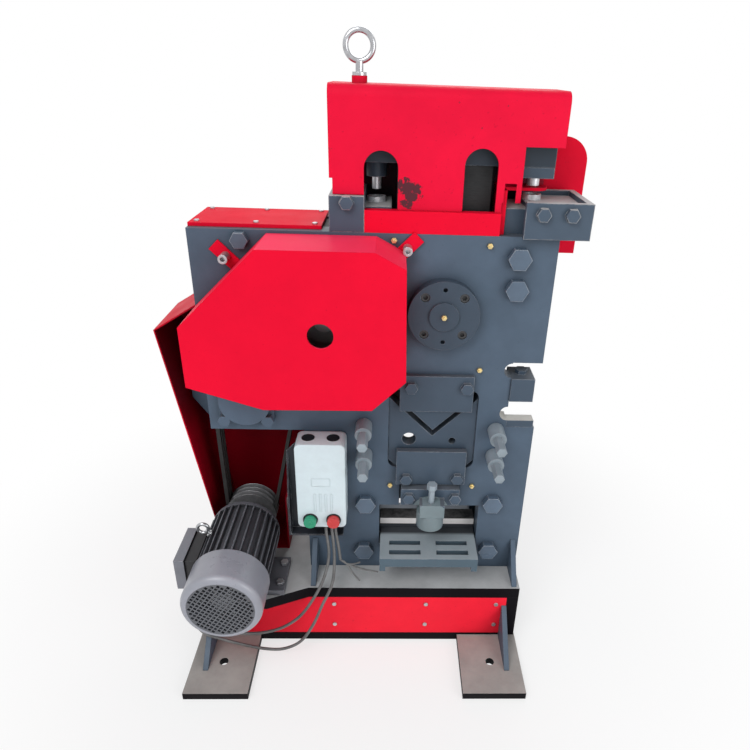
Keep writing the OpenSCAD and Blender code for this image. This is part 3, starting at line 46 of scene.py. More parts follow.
# Camera, from the photograph's perspective: metres, degrees, millimetres and shares of the picture
CAM_PLACE = (0.0609, -1.2600, 1.2854)
CAM_TURN = (63.5065, -1.9619, -1.5419)
CAM_LENS = 29.85
CAM_SENSOR = 36.0
CAM_SHIFT = (-0.0512, 0.0039)
CAM_CLIP = (0.05, 60.0)

# Lights: name, place, aim, size, power
LAMPS = (
    ("key", (-1.3, -2.2, 3.2), (0.0, 0.0, 0.7), 2.2, 62.0),
    ("fill", (2.2, -2.2, 1.3), (0.1, 0.0, 0.5), 2.0, 32.0),
    ("back", (0.3, 2.2, 2.6), (0.0, 0.0, 0.8), 2.0, 25.0),
)
# World: tint and strength where it lights things, and where it is seen
SKY = ((0.97, 0.98, 1.0, 1), 0.45)
BACKDROP = ((1, 1, 1, 1), 1.0)
# Floor: it turns from lit paper to plain white between these distances from the machine
FLOOR_HALF = 8.0
FLOOR_Z = -0.5 * MM
PAPER = (0.9, 0.9, 0.9, 1)
FLOOR_FADE = (0.55, 1.3)
FLOOR_GLOW = (0.66, 1.0)


def make_camera():
    data = bpy.data.cameras.new("camera")
    data.lens = CAM_LENS
    data.sensor_width = CAM_SENSOR
    data.shift_x, data.shift_y = CAM_SHIFT
    data.clip_start, data.clip_end = CAM_CLIP
    cam = bpy.data.objects.new("camera", data)
    cam.location = CAM_PLACE
    cam.rotation_euler = Euler([math.radians(a) for a in CAM_TURN], "XYZ")
    bpy.context.collection.objects.link(cam)
    bpy.context.scene.camera = cam


def make_lamps():
    for name, place, aim, size, power in LAMPS:
        data = bpy.data.lights.new(name, "AREA")
        data.shape = "DISK"
        data.size = size
        data.energy = power
        lamp = bpy.data.objects.new(name, data)
        lamp.location = place
        lamp.rotation_euler = (Vector(aim) - Vector(place)).to_track_quat("-Z", "Y").to_euler()
        bpy.context.collection.objects.link(lamp)


def seen_directly(tree):
    """1 for rays from the camera, a mirror or glass; 0 for the light that falls on things."""
    path = tree.nodes.new("ShaderNodeLightPath")
    value = path.outputs["Is Camera Ray"]
    for kind in ("Is Glossy Ray", "Is Transmission Ray"):
        both = tree.nodes.new("ShaderNodeMath")
        both.operation = "MAXIMUM"
        tree.links.new(value, both.inputs[0])
        tree.links.new(path.outputs[kind], both.inputs[1])
        value = both.outputs[0]
    return value


def make_world():
    world = bpy.data.worlds.new("studio")
    bpy.context.scene.world = world
    world.use_nodes = True
    tree = world.node_tree
    tree.nodes.clear()
    out = tree.nodes.new("ShaderNodeOutputWorld")
    mix = tree.nodes.new("ShaderNodeMixShader")
    tree.links.new(seen_directly(tree), mix.inputs[0])
    for socket, (tint, strength) in zip(mix.inputs[1:], (SKY, BACKDROP)):
        sky = tree.nodes.new("ShaderNodeBackground")
        sky.inputs["Color"].default_value = tint
        sky.inputs["Strength"].default_value = strength
        tree.links.new(sky.outputs[0], socket)
    tree.links.new(mix.outputs[0], out.inputs["Surface"])


def make_floor():
    h = FLOOR_HALF
    corners = [(x, y, FLOOR_Z) for x, y in ((-h, -h), (h, -h), (h, h), (-h, h))]
    mesh = bpy.data.meshes.new("floor")
    mesh.from_pydata(corners, [], [(0, 1, 2, 3)])
    floor = bpy.data.objects.new("floor", mesh)
    bpy.context.collection.objects.link(floor)
    mat = bpy.data.materials.new("floor")
    mat.use_nodes = True
    tree = mat.node_tree
    tree.nodes.clear()
    out = tree.nodes.new("ShaderNodeOutputMaterial")
    paper = tree.nodes.new("ShaderNodeBsdfDiffuse")
    paper.inputs["Color"].default_value = PAPER
    glow = tree.nodes.new("ShaderNodeEmission")
    glow.inputs["Strength"].default_value = 1.0
    spot = tree.nodes.new("ShaderNodeTexCoord")
    away = tree.nodes.new("ShaderNodeVectorMath")
    away.operation = "LENGTH"
    fade = tree.nodes.new("ShaderNodeMapRange")
    fade.interpolation_type = "SMOOTHSTEP"
    fade.inputs["From Min"].default_value, fade.inputs["From Max"].default_value = FLOOR_FADE
    fade.inputs["To Min"].default_value, fade.inputs["To Max"].default_value = FLOOR_GLOW
    share = tree.nodes.new("ShaderNodeMath")
    share.operation = "MULTIPLY"
    mix = tree.nodes.new("ShaderNodeMixShader")
    tree.links.new(spot.outputs["Object"], away.inputs[0])
    tree.links.new(away.outputs["Value"], fade.inputs["Value"])
    tree.links.new(fade.outputs["Result"], share.inputs[0])
    tree.links.new(seen_directly(tree), share.inputs[1])
    tree.links.new(share.outputs[0], mix.inputs[0])
    tree.links.new(paper.outputs[0], mix.inputs[1])
    tree.links.new(glow.outputs[0], mix.inputs[2])
    tree.links.new(mix.outputs[0], out.inputs["Surface"])
    mesh.materials.append(mat)


# Materials. Noise by its use: scale per metre, detail, roughness
NOISE = {
    "tone": (5.0, 5.0, 0.65),
    "speck": (160.0, 2.0, 0.5),
    "scuff": (38.0, 6.0, 0.7),
    "sheen": (14.0, 4.0, 0.6),
    "flake": (70.0, 5.0, 0.65),
    "top_share": (9.0, 6.0, 0.7),
    "peel": (420.0, 2.0, 0.5),
    "tool_marks": (90.0, 3.0, 0.6),
    "oil": (7.0, 5.0, 0.65),
    "grubby": (11.0, 5.0, 0.65),
    "blotch": (60.0, 3.0, 0.6),
    "handled": (25.0, 4.0, 0.6),
    "grain": (900.0, 2.0, 0.5),
    "chalk": (30.0, 5.0, 0.65),
    "nap": (500.0, 3.0, 0.5),
}
# Spans of a value between which a mask goes from 0 to 1
MIDDLE = (0.3, 0.7)
TONE_SPAN = (0.3, 0.72)
SPECK_SPAN = (0.66, 0.78)
FLAKE_SPAN = (0.24, 0.42)
TOP_SPAN = (0.25, 0.65)
OIL_SPAN = (0.45, 0.75)
STEEL_SHEEN_SPAN = (0.3, 0.75)
GRUB_SPAN = (0.4, 0.8)
BLOTCH_SPAN = (0.35, 0.7)
CHALK_SPAN = (0.35, 0.75)
EDGE_SPAN = (0.995, 0.80)
UP_SPAN = (0.6, 0.95)
CORNER_SPAN = (0.92, 0.35)
INSIDE_SHADE_SPAN = (0.5, 0.25)
# A face looks to a side when its normal has less than this to the front or back
EDGEWISE = 0.5
# Width of a sharp change of colour
SHARP = 0.2 * MM
BEVEL_SAMPLES = 4
HOLLOW_SAMPLES = 6
# A spot is full up to this share of its reach
NEAR_CORE = 0.3
# Sockets of the Mix node for colours
MIX_A, MIX_B, MIX_OUT = 6, 7, 2
# Factors that drop the depth from a place
FLATTEN = (1.0, 0.0, 1.0)


class Shader:
    """A node material with short calls for what every surface here uses."""

    def __init__(self, name):
        self.mat = bpy.data.materials.new(name)
        self.mat.use_nodes = True
        self.tree = self.mat.node_tree
        self.bsdf = self.tree.nodes["Principled BSDF"]
        self.place = self.add("ShaderNodeTexCoord").outputs["Object"]
        self.normal = self.add("ShaderNodeNewGeometry").outputs["Normal"]

    def add(self, kind, **values):
        made = self.tree.nodes.new(kind)
        for key, value in values.items():
            setattr(made, key, value)
        return made

    def link(self, a, b):
        self.tree.links.new(a, b)

    def noise(self, use, stretch=None):
        made = self.add("ShaderNodeTexNoise")
        for key, value in zip(("Scale", "Detail", "Roughness"), NOISE[use]):
            made.inputs[key].default_value = value
        place = self.place
        if stretch:
            turn = self.add("ShaderNodeMapping")
            turn.inputs["Scale"].default_value = stretch
            self.link(place, turn.inputs["Vector"])
            place = turn.outputs["Vector"]
        self.link(place, made.inputs["Vector"])
        return made.outputs["Fac"]

    def ramp(self, value, span, to=(0.0, 1.0)):
        made = self.add("ShaderNodeMapRange")
        for key, end in zip(("From Min", "From Max", "To Min", "To Max"), (*span, *to)):
            made.inputs[key].default_value = end
        self.link(value, made.inputs["Value"])
        return made.outputs["Result"]

    def math(self, op, a, b):
        made = self.add("ShaderNodeMath", operation=op)
        for socket, value in zip(made.inputs, (a, b)):
            if isinstance(value, (int, float)):
                socket.default_value = value
            else:
                self.link(value, socket)
        return made.outputs[0]

    def product(self, value, *others):
        for other in others:
            value = self.math("MULTIPLY", value, other)
        return value

    def mix(self, share, a, b):
        made = self.add("ShaderNodeMix", data_type="RGBA")
        self.link(share, made.inputs["Factor"])
        for socket, value in ((made.inputs[MIX_A], a), (made.inputs[MIX_B], b)):
            if isinstance(value, tuple):
                socket.default_value = (*value, 1.0)
            else:
                self.link(value, socket)
        return made.outputs[MIX_OUT]

    def part_of(self, vector, axis):
        split = self.add("ShaderNodeSeparateXYZ")
        self.link(vector, split.inputs[0])
        return split.outputs[axis]

    def distance(self, place, centre):
        far = self.add("ShaderNodeVectorMath", operation="DISTANCE")
        self.link(place, far.inputs[0])
        far.inputs[1].default_value = centre
        return far.outputs["Value"]

    def edges(self, radius):
        """1 along edges, where wear and painted highlights go, 0 on open faces; also the rounded normal."""
        bevel = self.add("ShaderNodeBevel", samples=BEVEL_SAMPLES)
        bevel.inputs["Radius"].default_value = radius
        dot = self.add("ShaderNodeVectorMath", operation="DOT_PRODUCT")
        self.link(bevel.outputs["Normal"], dot.inputs[0])
        self.link(self.normal, dot.inputs[1])
        return self.ramp(dot.outputs["Value"], EDGE_SPAN), bevel.outputs["Normal"]

    def hollow(self, reach, span=CORNER_SPAN):
        """1 in corners and gaps, 0 on open faces."""
        shut = self.add("ShaderNodeAmbientOcclusion", samples=HOLLOW_SAMPLES)
        shut.inputs["Distance"].default_value = reach
        return self.ramp(shut.outputs["AO"], span)

    def near(self, centre, reach):
        """1 round a point of the object, falling to 0 at reach."""
        return self.ramp(self.distance(self.place, centre), (reach, reach * NEAR_CORE))

    def upward(self):
        """1 on faces that look up, 0 on the others."""
        return self.ramp(self.part_of(self.normal, "Z"), UP_SPAN)

    def edgewise(self):
        """1 on faces that look neither to the front nor to the back."""
        return self.math("LESS_THAN", self.math("ABSOLUTE", self.part_of(self.normal, "Y"), 0.0), EDGEWISE)

    def past(self, axis, start, end):
        """0 before start along an axis of the object, 1 after end."""
        return self.ramp(self.part_of(self.place, axis), (start, end))

    def disc(self, x, z, radius):
        """1 inside a circle seen from the front."""
        flat = self.add("ShaderNodeVectorMath", operation="MULTIPLY")
        self.link(self.place, flat.inputs[0])
        flat.inputs[1].default_value = FLATTEN
        return self.math("LESS_THAN", self.distance(flat.outputs["Vector"], (x, 0.0, z)), radius)

    def bump(self, height, strength, depth, normal=None):
        made = self.add("ShaderNodeBump")
        made.inputs["Strength"].default_value = strength
        made.inputs["Distance"].default_value = depth
        self.link(height, made.inputs["Height"])
        if normal is not None:
            self.link(normal, made.inputs["Normal"])
        return made.outputs["Normal"]

    def done(self, colour, rough, normal, metal=0.0, specular=0.5):
        self.link(colour, self.bsdf.inputs["Base Color"])
        self.link(rough, self.bsdf.inputs["Roughness"])
        self.link(normal, self.bsdf.inputs["Normal"])
        self.bsdf.inputs["Metallic"].default_value = metal
        self.bsdf.inputs["Specular IOR Level"].default_value = specular
        return self.mat


def shade(colour, share):
    return tuple(c * share for c in colour)


# Paint: how far tones, specks, rubbed edges with painted highlights, painted shade in corners, sheen, flakes and dust
# go from the plain colour, where on some looks the tops take painted light and painted shade in place of dust
PALE_PATCH = 0.7
SPECK_SHARE, SPECK_SHADE = 0.35, 0.55
RUB_AND_GLINT_WIDTH = 0.2
PAINTED_SHADE_SHARE = 0.25
PAINT_SHEEN = (-0.07, 0.1)
FLAKE_RAGGED = (-0.9, 0.3)
TOP_THIN = (0.7, 1.0)
TOP_ROUGH = 0.8
PART_SHADES = (0.8, 1.15)
PEEL_BUMP = (0.12, 0.4 * MM)


def about(rough, sheen):
    return rough + sheen[0], rough + sheen[1]


def painted(name, colour, rough, edge_wear_and_glint, top_dust_and_light=None, patch=0.18, edge=2.2 * MM, grime_and_shade=0.35, reach=30 * MM,
            chips=(), specular=0.28, part=None, rub_and_glint=0.42):
    """Paint over metal: uneven tone, specks, scuffed edges with painted highlights, painted shade in corners, chips
    and settled dust; on the gear cover the tops take painted light and on the notching die painted shade instead.

    edge_wear_and_glint and top_dust_and_light are (colour, share) and each chip is (centre, reach). part is (mask,
    colour) for a part of the piece with a colour of its own, or for painted shade. A low rub_and_glint lightens more
    of the edges, as wear and painted highlight."""
    s = Shader(name)
    tone = s.ramp(s.noise("tone"), TONE_SPAN)
    base = s.mix(tone, shade(colour, 1 - patch), shade(colour, 1 + patch * PALE_PATCH))
    specks = s.ramp(s.noise("speck"), SPECK_SPAN, (0.0, SPECK_SHARE))
    base = s.mix(specks, base, shade(colour, SPECK_SHADE))
    edge_mask, soft_normal = s.edges(edge)
    # bright rubbed edges: wear, and on some looks painted highlight
    bare_and_glint = s.ramp(s.noise("scuff"), (rub_and_glint, rub_and_glint + RUB_AND_GLINT_WIDTH))
    base = s.mix(s.product(edge_mask, bare_and_glint, edge_wear_and_glint[1]), base, edge_wear_and_glint[0])
    # painted shade: darker in corners and gaps, out to reach
    base = s.mix(s.product(s.hollow(reach), grime_and_shade), base, shade(colour, PAINTED_SHADE_SHARE))
    rough_value = s.ramp(s.noise("sheen"), MIDDLE, about(rough, PAINT_SHEEN))
    for centre, size in chips:
        ragged = s.ramp(s.noise("flake"), MIDDLE, FLAKE_RAGGED)
        flake = s.math("ADD", s.near(centre, size), ragged)
        base = s.mix(s.ramp(flake, FLAKE_SPAN), base, CHIP)
    # tops: settled dust, and on some looks painted light and painted shade instead
    if top_dust_and_light:
        top_share = s.product(s.upward(), s.ramp(s.noise("top_share"), TOP_SPAN, TOP_THIN), top_dust_and_light[1])
        base = s.mix(top_share, base, top_dust_and_light[0])
        rough_value = s.math("MAXIMUM", rough_value, s.product(top_share, TOP_ROUGH))
    if part:
        mask, other = part
        mottled = s.mix(tone, *(shade(other, share) for share in PART_SHADES))
        base = s.mix(mask(s), base, mottled)
    normal = s.bump(s.noise("peel"), *PEEL_BUMP, soft_normal)
    return s.done(base, rough_value, normal, specular=specular)


# Machined steel: tones of its tool marks, oil and edges
ALONG = (1, 1, 14)
EVEN = (1, 1, 1)
MARK_SHADES = (0.82, 1.12)
OIL_SHADE = 0.45
EDGE_SHARE, EDGE_SHADE = 0.5, 1.35
STEEL_EDGE = 1.2 * MM
STEEL_SHEEN = (-0.06, 0.16)
MARK_BUMP = (0.1, 0.3 * MM)


def steel(name, colour, rough=0.32, stretch=ALONG, grime_and_shade=0.35, metal=0.85):
    """Machined steel: fine tool marks, darker oily patches and bright edges."""
    s = Shader(name)
    marks = s.noise("tool_marks", stretch)
    tone = s.noise("oil")
    base = s.mix(s.ramp(marks, MIDDLE), *(shade(colour, share) for share in MARK_SHADES))
    base = s.mix(s.ramp(tone, OIL_SPAN, (0.0, grime_and_shade)), base, shade(colour, OIL_SHADE))
    edge_mask, soft_normal = s.edges(STEEL_EDGE)
    base = s.mix(s.product(edge_mask, EDGE_SHARE), base, shade(colour, EDGE_SHADE))
    rough_value = s.ramp(tone, STEEL_SHEEN_SPAN, about(rough, STEEL_SHEEN))
    normal = s.bump(marks, *MARK_BUMP, soft_normal)
    return s.done(base, rough_value, normal, metal=metal)


# Plastic: shares and shades of its blotches, and the painted shade in its corners
BLOTCH_SHARE, BLOTCH_SHADE = 0.12, 0.7
CORNER_REACH, CORNER_SHARE, CORNER_SHADE = 20 * MM, 0.4, 0.4
PLASTIC_SHEEN = (-0.05, 0.1)
PLASTIC_SPECULAR = 0.35
GRAIN_BUMP = (0.08, 0.3 * MM)


def plastic(name, colour, rough, dirt, edge=1.5 * MM, dark=None):
    """Moulded plastic: fine grain, slight grubby tone, painted shade in corners, rounded edges and, where asked, dark
    fittings.

    dirt is (colour, share) and dark is a mask."""
    s = Shader(name)
    base = s.mix(s.ramp(s.noise("grubby"), GRUB_SPAN, (0.0, dirt[1])), colour, dirt[0])
    blotches = s.ramp(s.noise("blotch"), BLOTCH_SPAN, (0.0, BLOTCH_SHARE))
    base = s.mix(blotches, base, shade(colour, BLOTCH_SHADE))
    # painted shade: darker in corners and gaps
    base = s.mix(s.product(s.hollow(CORNER_REACH), CORNER_SHARE), base, shade(colour, CORNER_SHADE))
    if dark:
        base = s.mix(dark(s), base, FITTING)
    _, soft_normal = s.edges(edge)
    rough_value = s.ramp(s.noise("handled"), MIDDLE, about(rough, PLASTIC_SHEEN))
    normal = s.bump(s.noise("grain"), *GRAIN_BUMP, soft_normal)
    return s.done(base, rough_value, normal, specular=PLASTIC_SPECULAR)


# Rubber: tones of its chalky patches
CHALK_SHADES = (0.75, 1.5)
RUBBER_SHEEN = (-0.08, 0.12)
NAP_BUMP = (0.15, 0.3 * MM)


def rubber(name, colour, rough):
    """Sheath or belt rubber: dull, chalky in patches."""
    s = Shader(name)
    tone = s.noise("chalk")
    base = s.mix(s.ramp(tone, CHALK_SPAN), *(shade(colour, share) for share in CHALK_SHADES))
    rough_value = s.ramp(tone, MIDDLE, about(rough, RUBBER_SHEEN))
    normal = s.bump(s.noise("nap"), *NAP_BUMP)
    return s.done(base, rough_value, normal)


# Colours
RED = (0.82, 0.003, 0.030)
# a lighter copy of the red: painted light on the base panels
PANEL_RED_LIT = (0.93, 0.018, 0.042)
HOOD_RED = (0.77, 0.006, 0.040)
# painted shade inside the hood
HOOD_INSIDE_SHADE = (0.022, 0.020, 0.027)
# painted light on the top of the gear cover
COVER_TOP_LIGHT = (1.0, 0.055, 0.145)
RED_WORN = (0.50, 0.03, 0.05)
CHIP = (0.095, 0.026, 0.036)
FRAME_GREY = (0.079, 0.116, 0.165)
FRAME_WORN = (0.2, 0.23, 0.27)
FRAME_DUST = (0.18, 0.185, 0.19)
BRIGHT_EDGE = (0.45, 0.48, 0.52)
BARE_STEEL = (0.62, 0.61, 0.60)
BARE_CUT = (0.56, 0.55, 0.51)
STUD_GREY = (0.30, 0.36, 0.405)
TOOL_GREY = (0.20, 0.255, 0.275)
TABLE_GREY = (0.088, 0.135, 0.172)
TABLE_DUST = (0.36, 0.41, 0.44)
# painted shade at the front of the notching die, on the back of its table and on the die's top
DIE_FRONT_SHADE = (0.042, 0.047, 0.055)
DIE_TOP_SHADE = (0.020, 0.021, 0.024)
GROUND = (0.86, 0.83, 0.815)
GROUND_EDGE = (0.9, 0.9, 0.9)
BLACK = (0.006, 0.005, 0.007)
BASE_WORN = (0.06, 0.06, 0.06)
DUST = (0.50, 0.51, 0.515)
FOOT_WORN = (0.08, 0.075, 0.07)
FOOT_DUST = (0.43, 0.40, 0.38)
SPACER_BLACK = (0.022, 0.025, 0.03)
SPACER_WORN = (0.15, 0.15, 0.16)
BRACKET_BLACK = (0.026, 0.029, 0.038)
MOTOR_GREY = (0.30, 0.31, 0.355)
MOTOR_WORN = (0.6, 0.6, 0.63)
GRILLE_GREY = (0.085, 0.09, 0.105)
TERMINAL_BLACK = (0.012, 0.012, 0.015)
STEEL = (0.50, 0.51, 0.53)
BRONZE = (0.56, 0.36, 0.15)
BRASS = (0.78, 0.62, 0.3)
BELT_BLACK = (0.02, 0.02, 0.02)
SHEATH_GREY = (0.125, 0.125, 0.125)
BOOT_BLACK = (0.03, 0.03, 0.032)
STARTER_PALE = (0.68, 0.79, 0.83)
STARTER_DIRT = (0.35, 0.36, 0.36)
FITTING = (0.012, 0.012, 0.014)
START_GREEN, START_DIRT = (0.025, 0.31, 0.17), (0.02, 0.15, 0.08)
STOP_RED, STOP_DIRT = (0.62, 0.05, 0.05), (0.35, 0.02, 0.02)

# Places of colours, in metres in the shared frame. Chips on the hood's front: centre and reach
HOOD_CHIPS = (
    ((0.083, -0.072, 1.088), 0.026),
    ((0.097, -0.072, 1.076), 0.030),
    ((0.090, -0.072, 1.064), 0.021),
)
HOOD_DEPTH = 0.15
TABLE_SHADE_Y = (-0.076, -0.066)
DIE_PALE = 17 * MM
DIE_FADE = 1 * MM
DIE_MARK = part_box("notch_die")[1][2] - DIE_PALE
TOOL_BLOCK_X, TOOL_BLOCK_Z, TOOL_BLOCK_R = 0.162, 0.368, 0.043
TERMINAL_LID = 22 * MM
TERMINAL_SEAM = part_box("terminal_box")[0][0] + TERMINAL_LID
COWL_LOW, COWL_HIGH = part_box("fan_cowl")
COWL_X, COWL_Z = (COWL_LOW[0] + COWL_HIGH[0]) / 2, (COWL_LOW[2] + COWL_HIGH[2]) / 2
GRILLE_R = 0.071
THROAT_X, THROAT_Z = 0.3, (0.5968, 0.632)
BUTTON_X = (-0.110, -0.058)
BUTTON_Z = 0.365
BEZEL_R = 0.0166
KNOCK_Z = 0.5642


def throat_cut(s):
    """The lower cut of the throat and the top of its blade, where bars lie."""
    low, high = THROAT_Z
    return s.product(s.edgewise(), s.past("X", THROAT_X - SHARP, THROAT_X), s.past("Z", low - SHARP, low),
                     s.past("Z", high + SHARP, high))


def starter_fittings(s):
    """Rings round both buttons, and the knock-outs on the lid."""
    mask = s.past("Z", KNOCK_Z, KNOCK_Z + SHARP)
    for x in BUTTON_X:
        mask = s.math("MAXIMUM", mask, s.disc(x, BUTTON_Z, BEZEL_R))
    return mask


# Parts of a piece with a colour of their own: the tool block and collar on the notching bar, the black base of the
# terminal box and the bare cut of the throat. A darker disc over the grille of the fan cowl. Painted shade: the dark
# inside of the hood, the back of the notching table and the foot of its die
SHADED_HOOD_INSIDE = (lambda s: s.hollow(HOOD_DEPTH, INSIDE_SHADE_SPAN), HOOD_INSIDE_SHADE)
TABLE_BACK_SHADE = (lambda s: s.past("Y", *TABLE_SHADE_Y), DIE_FRONT_SHADE)
DIE_FOOT_SHADE = (lambda s: s.past("Z", DIE_MARK + DIE_FADE, DIE_MARK), DIE_FRONT_SHADE)
TOOL_BLOCK = (lambda s: s.disc(TOOL_BLOCK_X, TOOL_BLOCK_Z, TOOL_BLOCK_R), TOOL_GREY)
TERMINAL_BASE = (lambda s: s.past("X", TERMINAL_SEAM - SHARP, TERMINAL_SEAM), TERMINAL_BLACK)
GRILLE = (lambda s: s.disc(COWL_X, COWL_Z, GRILLE_R), GRILLE_GREY)
THROAT_BARE = (throat_cut, BARE_CUT)

make_camera()
make_lamps()
make_world()
make_floor()
bpy.context.scene.view_settings.view_transform = "Standard"

# Looks: name, colour and roughness; for paint then edge wear with painted highlight, and dust with painted light and
# shade on some tops, for steel the stretch of its tool marks, and for plastic its dirt
LOOKS = {
    "red": painted("red_paint", RED, 0.55, (RED_WORN, 0.35), patch=0.08, specular=0.08),
    # the dark inside of the hood is painted shade
    "hood_red": painted("hood_paint", HOOD_RED, 0.55, (RED_WORN, 0.35), patch=0.12, chips=HOOD_CHIPS,
                        specular=0.08, part=SHADED_HOOD_INSIDE),
    # lighter tops of the gear cover: painted light
    "cover_red": painted("cover_paint", RED, 0.55, (RED_WORN, 0.35), (COVER_TOP_LIGHT, 0.8), patch=0.08, specular=0.08),
    # a lighter red: painted light
    "panel_red_lit": painted("panel_paint_lit", PANEL_RED_LIT, 0.5, (RED_WORN, 0.3), patch=0.1, specular=0.1),
    # a darker copy of the red, and darkening deep into the guard: painted shade inside the guard
    "guard_red": painted("guard_paint", shade(RED, 0.85), 0.48, (RED_WORN, 0.3), patch=0.2, grime_and_shade=0.95,
                         reach=220 * MM, specular=0.1),
    # darkening round bolts, studs and blocks: painted shade
    "frame": painted("frame_paint", FRAME_GREY, 0.45, (FRAME_WORN, 0.45), (FRAME_DUST, 0.3), patch=0.22, grime_and_shade=0.6,
                     reach=35 * MM, part=THROAT_BARE),
    # Bright, widely rubbed rims on these looks: wear, and painted highlight where light catches the rims
    "bolt": painted("bolt_paint", shade(FRAME_GREY, 1.2), 0.3, (BRIGHT_EDGE, 0.9), patch=0.35, edge=3 * MM,
                    specular=0.5, rub_and_glint=0.3),
    "block": painted("block_paint", shade(FRAME_GREY, 0.62), 0.42, (BRIGHT_EDGE, 0.9), (FRAME_DUST, 0.45),
                     edge=3 * MM, rub_and_glint=0.34),
    "seat": painted("seat_paint", shade(FRAME_GREY, 0.78), 0.4, (BARE_STEEL, 0.9), (BARE_STEEL, 0.8), edge=3 * MM,
                    rub_and_glint=0.34),
    "holder": painted("holder_paint", shade(FRAME_GREY, 0.85), 0.38, (BRIGHT_EDGE, 0.9), (FRAME_DUST, 0.5),
                      edge=3 * MM, part=TOOL_BLOCK, rub_and_glint=0.34),
    "tooling": painted("tooling_paint", shade(FRAME_GREY, 0.75), 0.42, (BRIGHT_EDGE, 0.8), (FRAME_DUST, 0.4),
                       edge=2.6 * MM, part=THROAT_BARE, rub_and_glint=0.36),
    # the back of the table is darkened: painted shade
    "table": painted("table_paint", TABLE_GREY, 0.5, (BRIGHT_EDGE, 0.8), (TABLE_DUST, 0.9), part=TABLE_BACK_SHADE),
    "cap": painted("cap_paint", shade(FRAME_GREY, 0.62), 0.42, (BRIGHT_EDGE, 0.35)),
    "head": painted("head_paint", shade(FRAME_GREY, 0.3), 0.45, (BRIGHT_EDGE, 0.5), edge=3 * MM, rub_and_glint=0.34),
    "base": painted("base_paint", BLACK, 0.45, (BASE_WORN, 0.4), (DUST, 1.0), specular=0.05),
    "feet": painted("feet_paint", BLACK, 0.5, (FOOT_WORN, 0.5), (FOOT_DUST, 0.95), specular=0.08),
    "motor": painted("motor_paint", MOTOR_GREY, 0.3, (MOTOR_WORN, 0.7), patch=0.2, edge=1.6 * MM, specular=0.7,
                     part=GRILLE),
    "terminal": painted("terminal_paint", shade(MOTOR_GREY, 0.72), 0.35, (MOTOR_WORN, 0.8), patch=0.15,
                        edge=1.6 * MM, specular=0.5, part=TERMINAL_BASE),
    # darkening between the fins is painted shade; the bright crests are wear and painted highlight
    "fins": painted("fin_paint", shade(MOTOR_GREY, 0.42), 0.45, (shade(MOTOR_GREY, 1.8), 1.0), patch=0.2,
                    edge=1.4 * MM, grime_and_shade=0.95, reach=20 * MM),
    "dark": painted("dark_paint", SPACER_BLACK, 0.5, (SPACER_WORN, 0.4), specular=0.15),
    "bracket": painted("bracket_paint", BRACKET_BLACK, 0.4, (BRIGHT_EDGE, 1.0), specular=0.3),
    "stud": painted("stud_paint", STUD_GREY, 0.32, (BRIGHT_EDGE, 0.8), patch=0.3, specular=0.5),
    # the top and the lower front of the die are darkened: painted shade
    "ground": painted("ground_steel", GROUND, 0.35, (GROUND_EDGE, 0.4), (DIE_TOP_SHADE, 1.0), patch=0.08, grime_and_shade=0.15,
                      part=DIE_FOOT_SHADE),
    "steel": steel("machined_steel", STEEL),
    "oily": steel("oily_steel", shade(STEEL, 0.07), 0.55, grime_and_shade=0.6),
    "screw": steel("screw_steel", shade(STEEL, 0.16), 0.45, EVEN, grime_and_shade=0.5),
    "chrome": steel("eye_chrome", shade(STEEL, 0.95), 0.16, EVEN, grime_and_shade=0.5),
    "tool": steel("tool_steel", shade(STEEL, 1.6), 0.3, grime_and_shade=0.2, metal=0.4),
    "plated": steel("plated_steel", shade(STEEL, 1.1), 0.34, EVEN, grime_and_shade=0.25),
    "gear": steel("gear_steel", shade(STEEL, 0.6), 0.4),
    "iron": steel("wheel_iron", shade(STEEL, 0.7), 0.42, EVEN),
    "bronze": steel("bronze", BRONZE, 0.34),
    "brass": steel("brass", BRASS, 0.3, EVEN, grime_and_shade=0.25),
    "belt": rubber("belt_rubber", BELT_BLACK, 0.6),
    "sheath": rubber("cable_sheath", SHEATH_GREY, 0.42),
    "boot": rubber("boot_rubber", BOOT_BLACK, 0.5),
    "starter": plastic("starter_plastic", STARTER_PALE, 0.35, (STARTER_DIRT, 0.2), 4 * MM, starter_fittings),
    "green": plastic("green_plastic", START_GREEN, 0.25, (START_DIRT, 0.3)),
    "stop": plastic("red_plastic", STOP_RED, 0.25, (STOP_DIRT, 0.3)),
}

# The CAD nodes that wear each look
WEARS = {
    "red": ("rear_gear_cover", "top_strip", "hood_sill", "punch_guard"),
    "hood_red": ("hood",),
    "cover_red": ("gear_cover",),
    "panel_red_lit": ("base_panels",),
    "guard_red": ("belt_guard",),
    "frame": ("front_plate", "rear_plate", "shaft_housings", "gussets"),
    "bolt": ("frame_bolts",),
    "block": ("punch_holder",),
    "seat": ("left_die", "right_die", "die_bracket"),
    "holder": ("notch_holder",),
    "tooling": ("shear_blocks", "shear_blades"),
    "table": ("notch_table",),
    "cap": ("bearing_cap",),
    "head": ("crosshead",),
    "base": ("base_top_plate", "base_walls"),
    "feet": ("foot_plates",),
    "motor": ("fan_cowl",),
    "terminal": ("terminal_box",),
    "fins": ("motor_housing", "motor_end_shields"),
    "dark": ("frame_spacers",),
    "bracket": ("starter_bracket",),
    "stud": ("adjusting_studs", "notch_screw"),
    "ground": ("notch_die",),
    "steel": ("eccentric_shaft", "flywheel_shaft", "second_shaft", "gear_shaft", "motor_rotor"),
    "oily": ("slide",),
    "screw": ("cap_screws",),
    "chrome": ("eye_bolts",),
    "tool": ("die_rings", "punches"),
    "plated": ("motor_bolts", "cover_fixings"),
    "gear": ("eccentric_gear", "first_gear", "second_gear"),
    "iron": ("flywheel", "motor_pulley"),
    "bronze": ("shaft_bushes",),
    "brass": ("grease_nipples",),
    "belt": ("drive_belts",),
    "sheath": ("motor_leads", "supply_tail"),
    "starter": ("starter_box",),
    "green": ("start_button",),
    "stop": ("stop_button",),
}

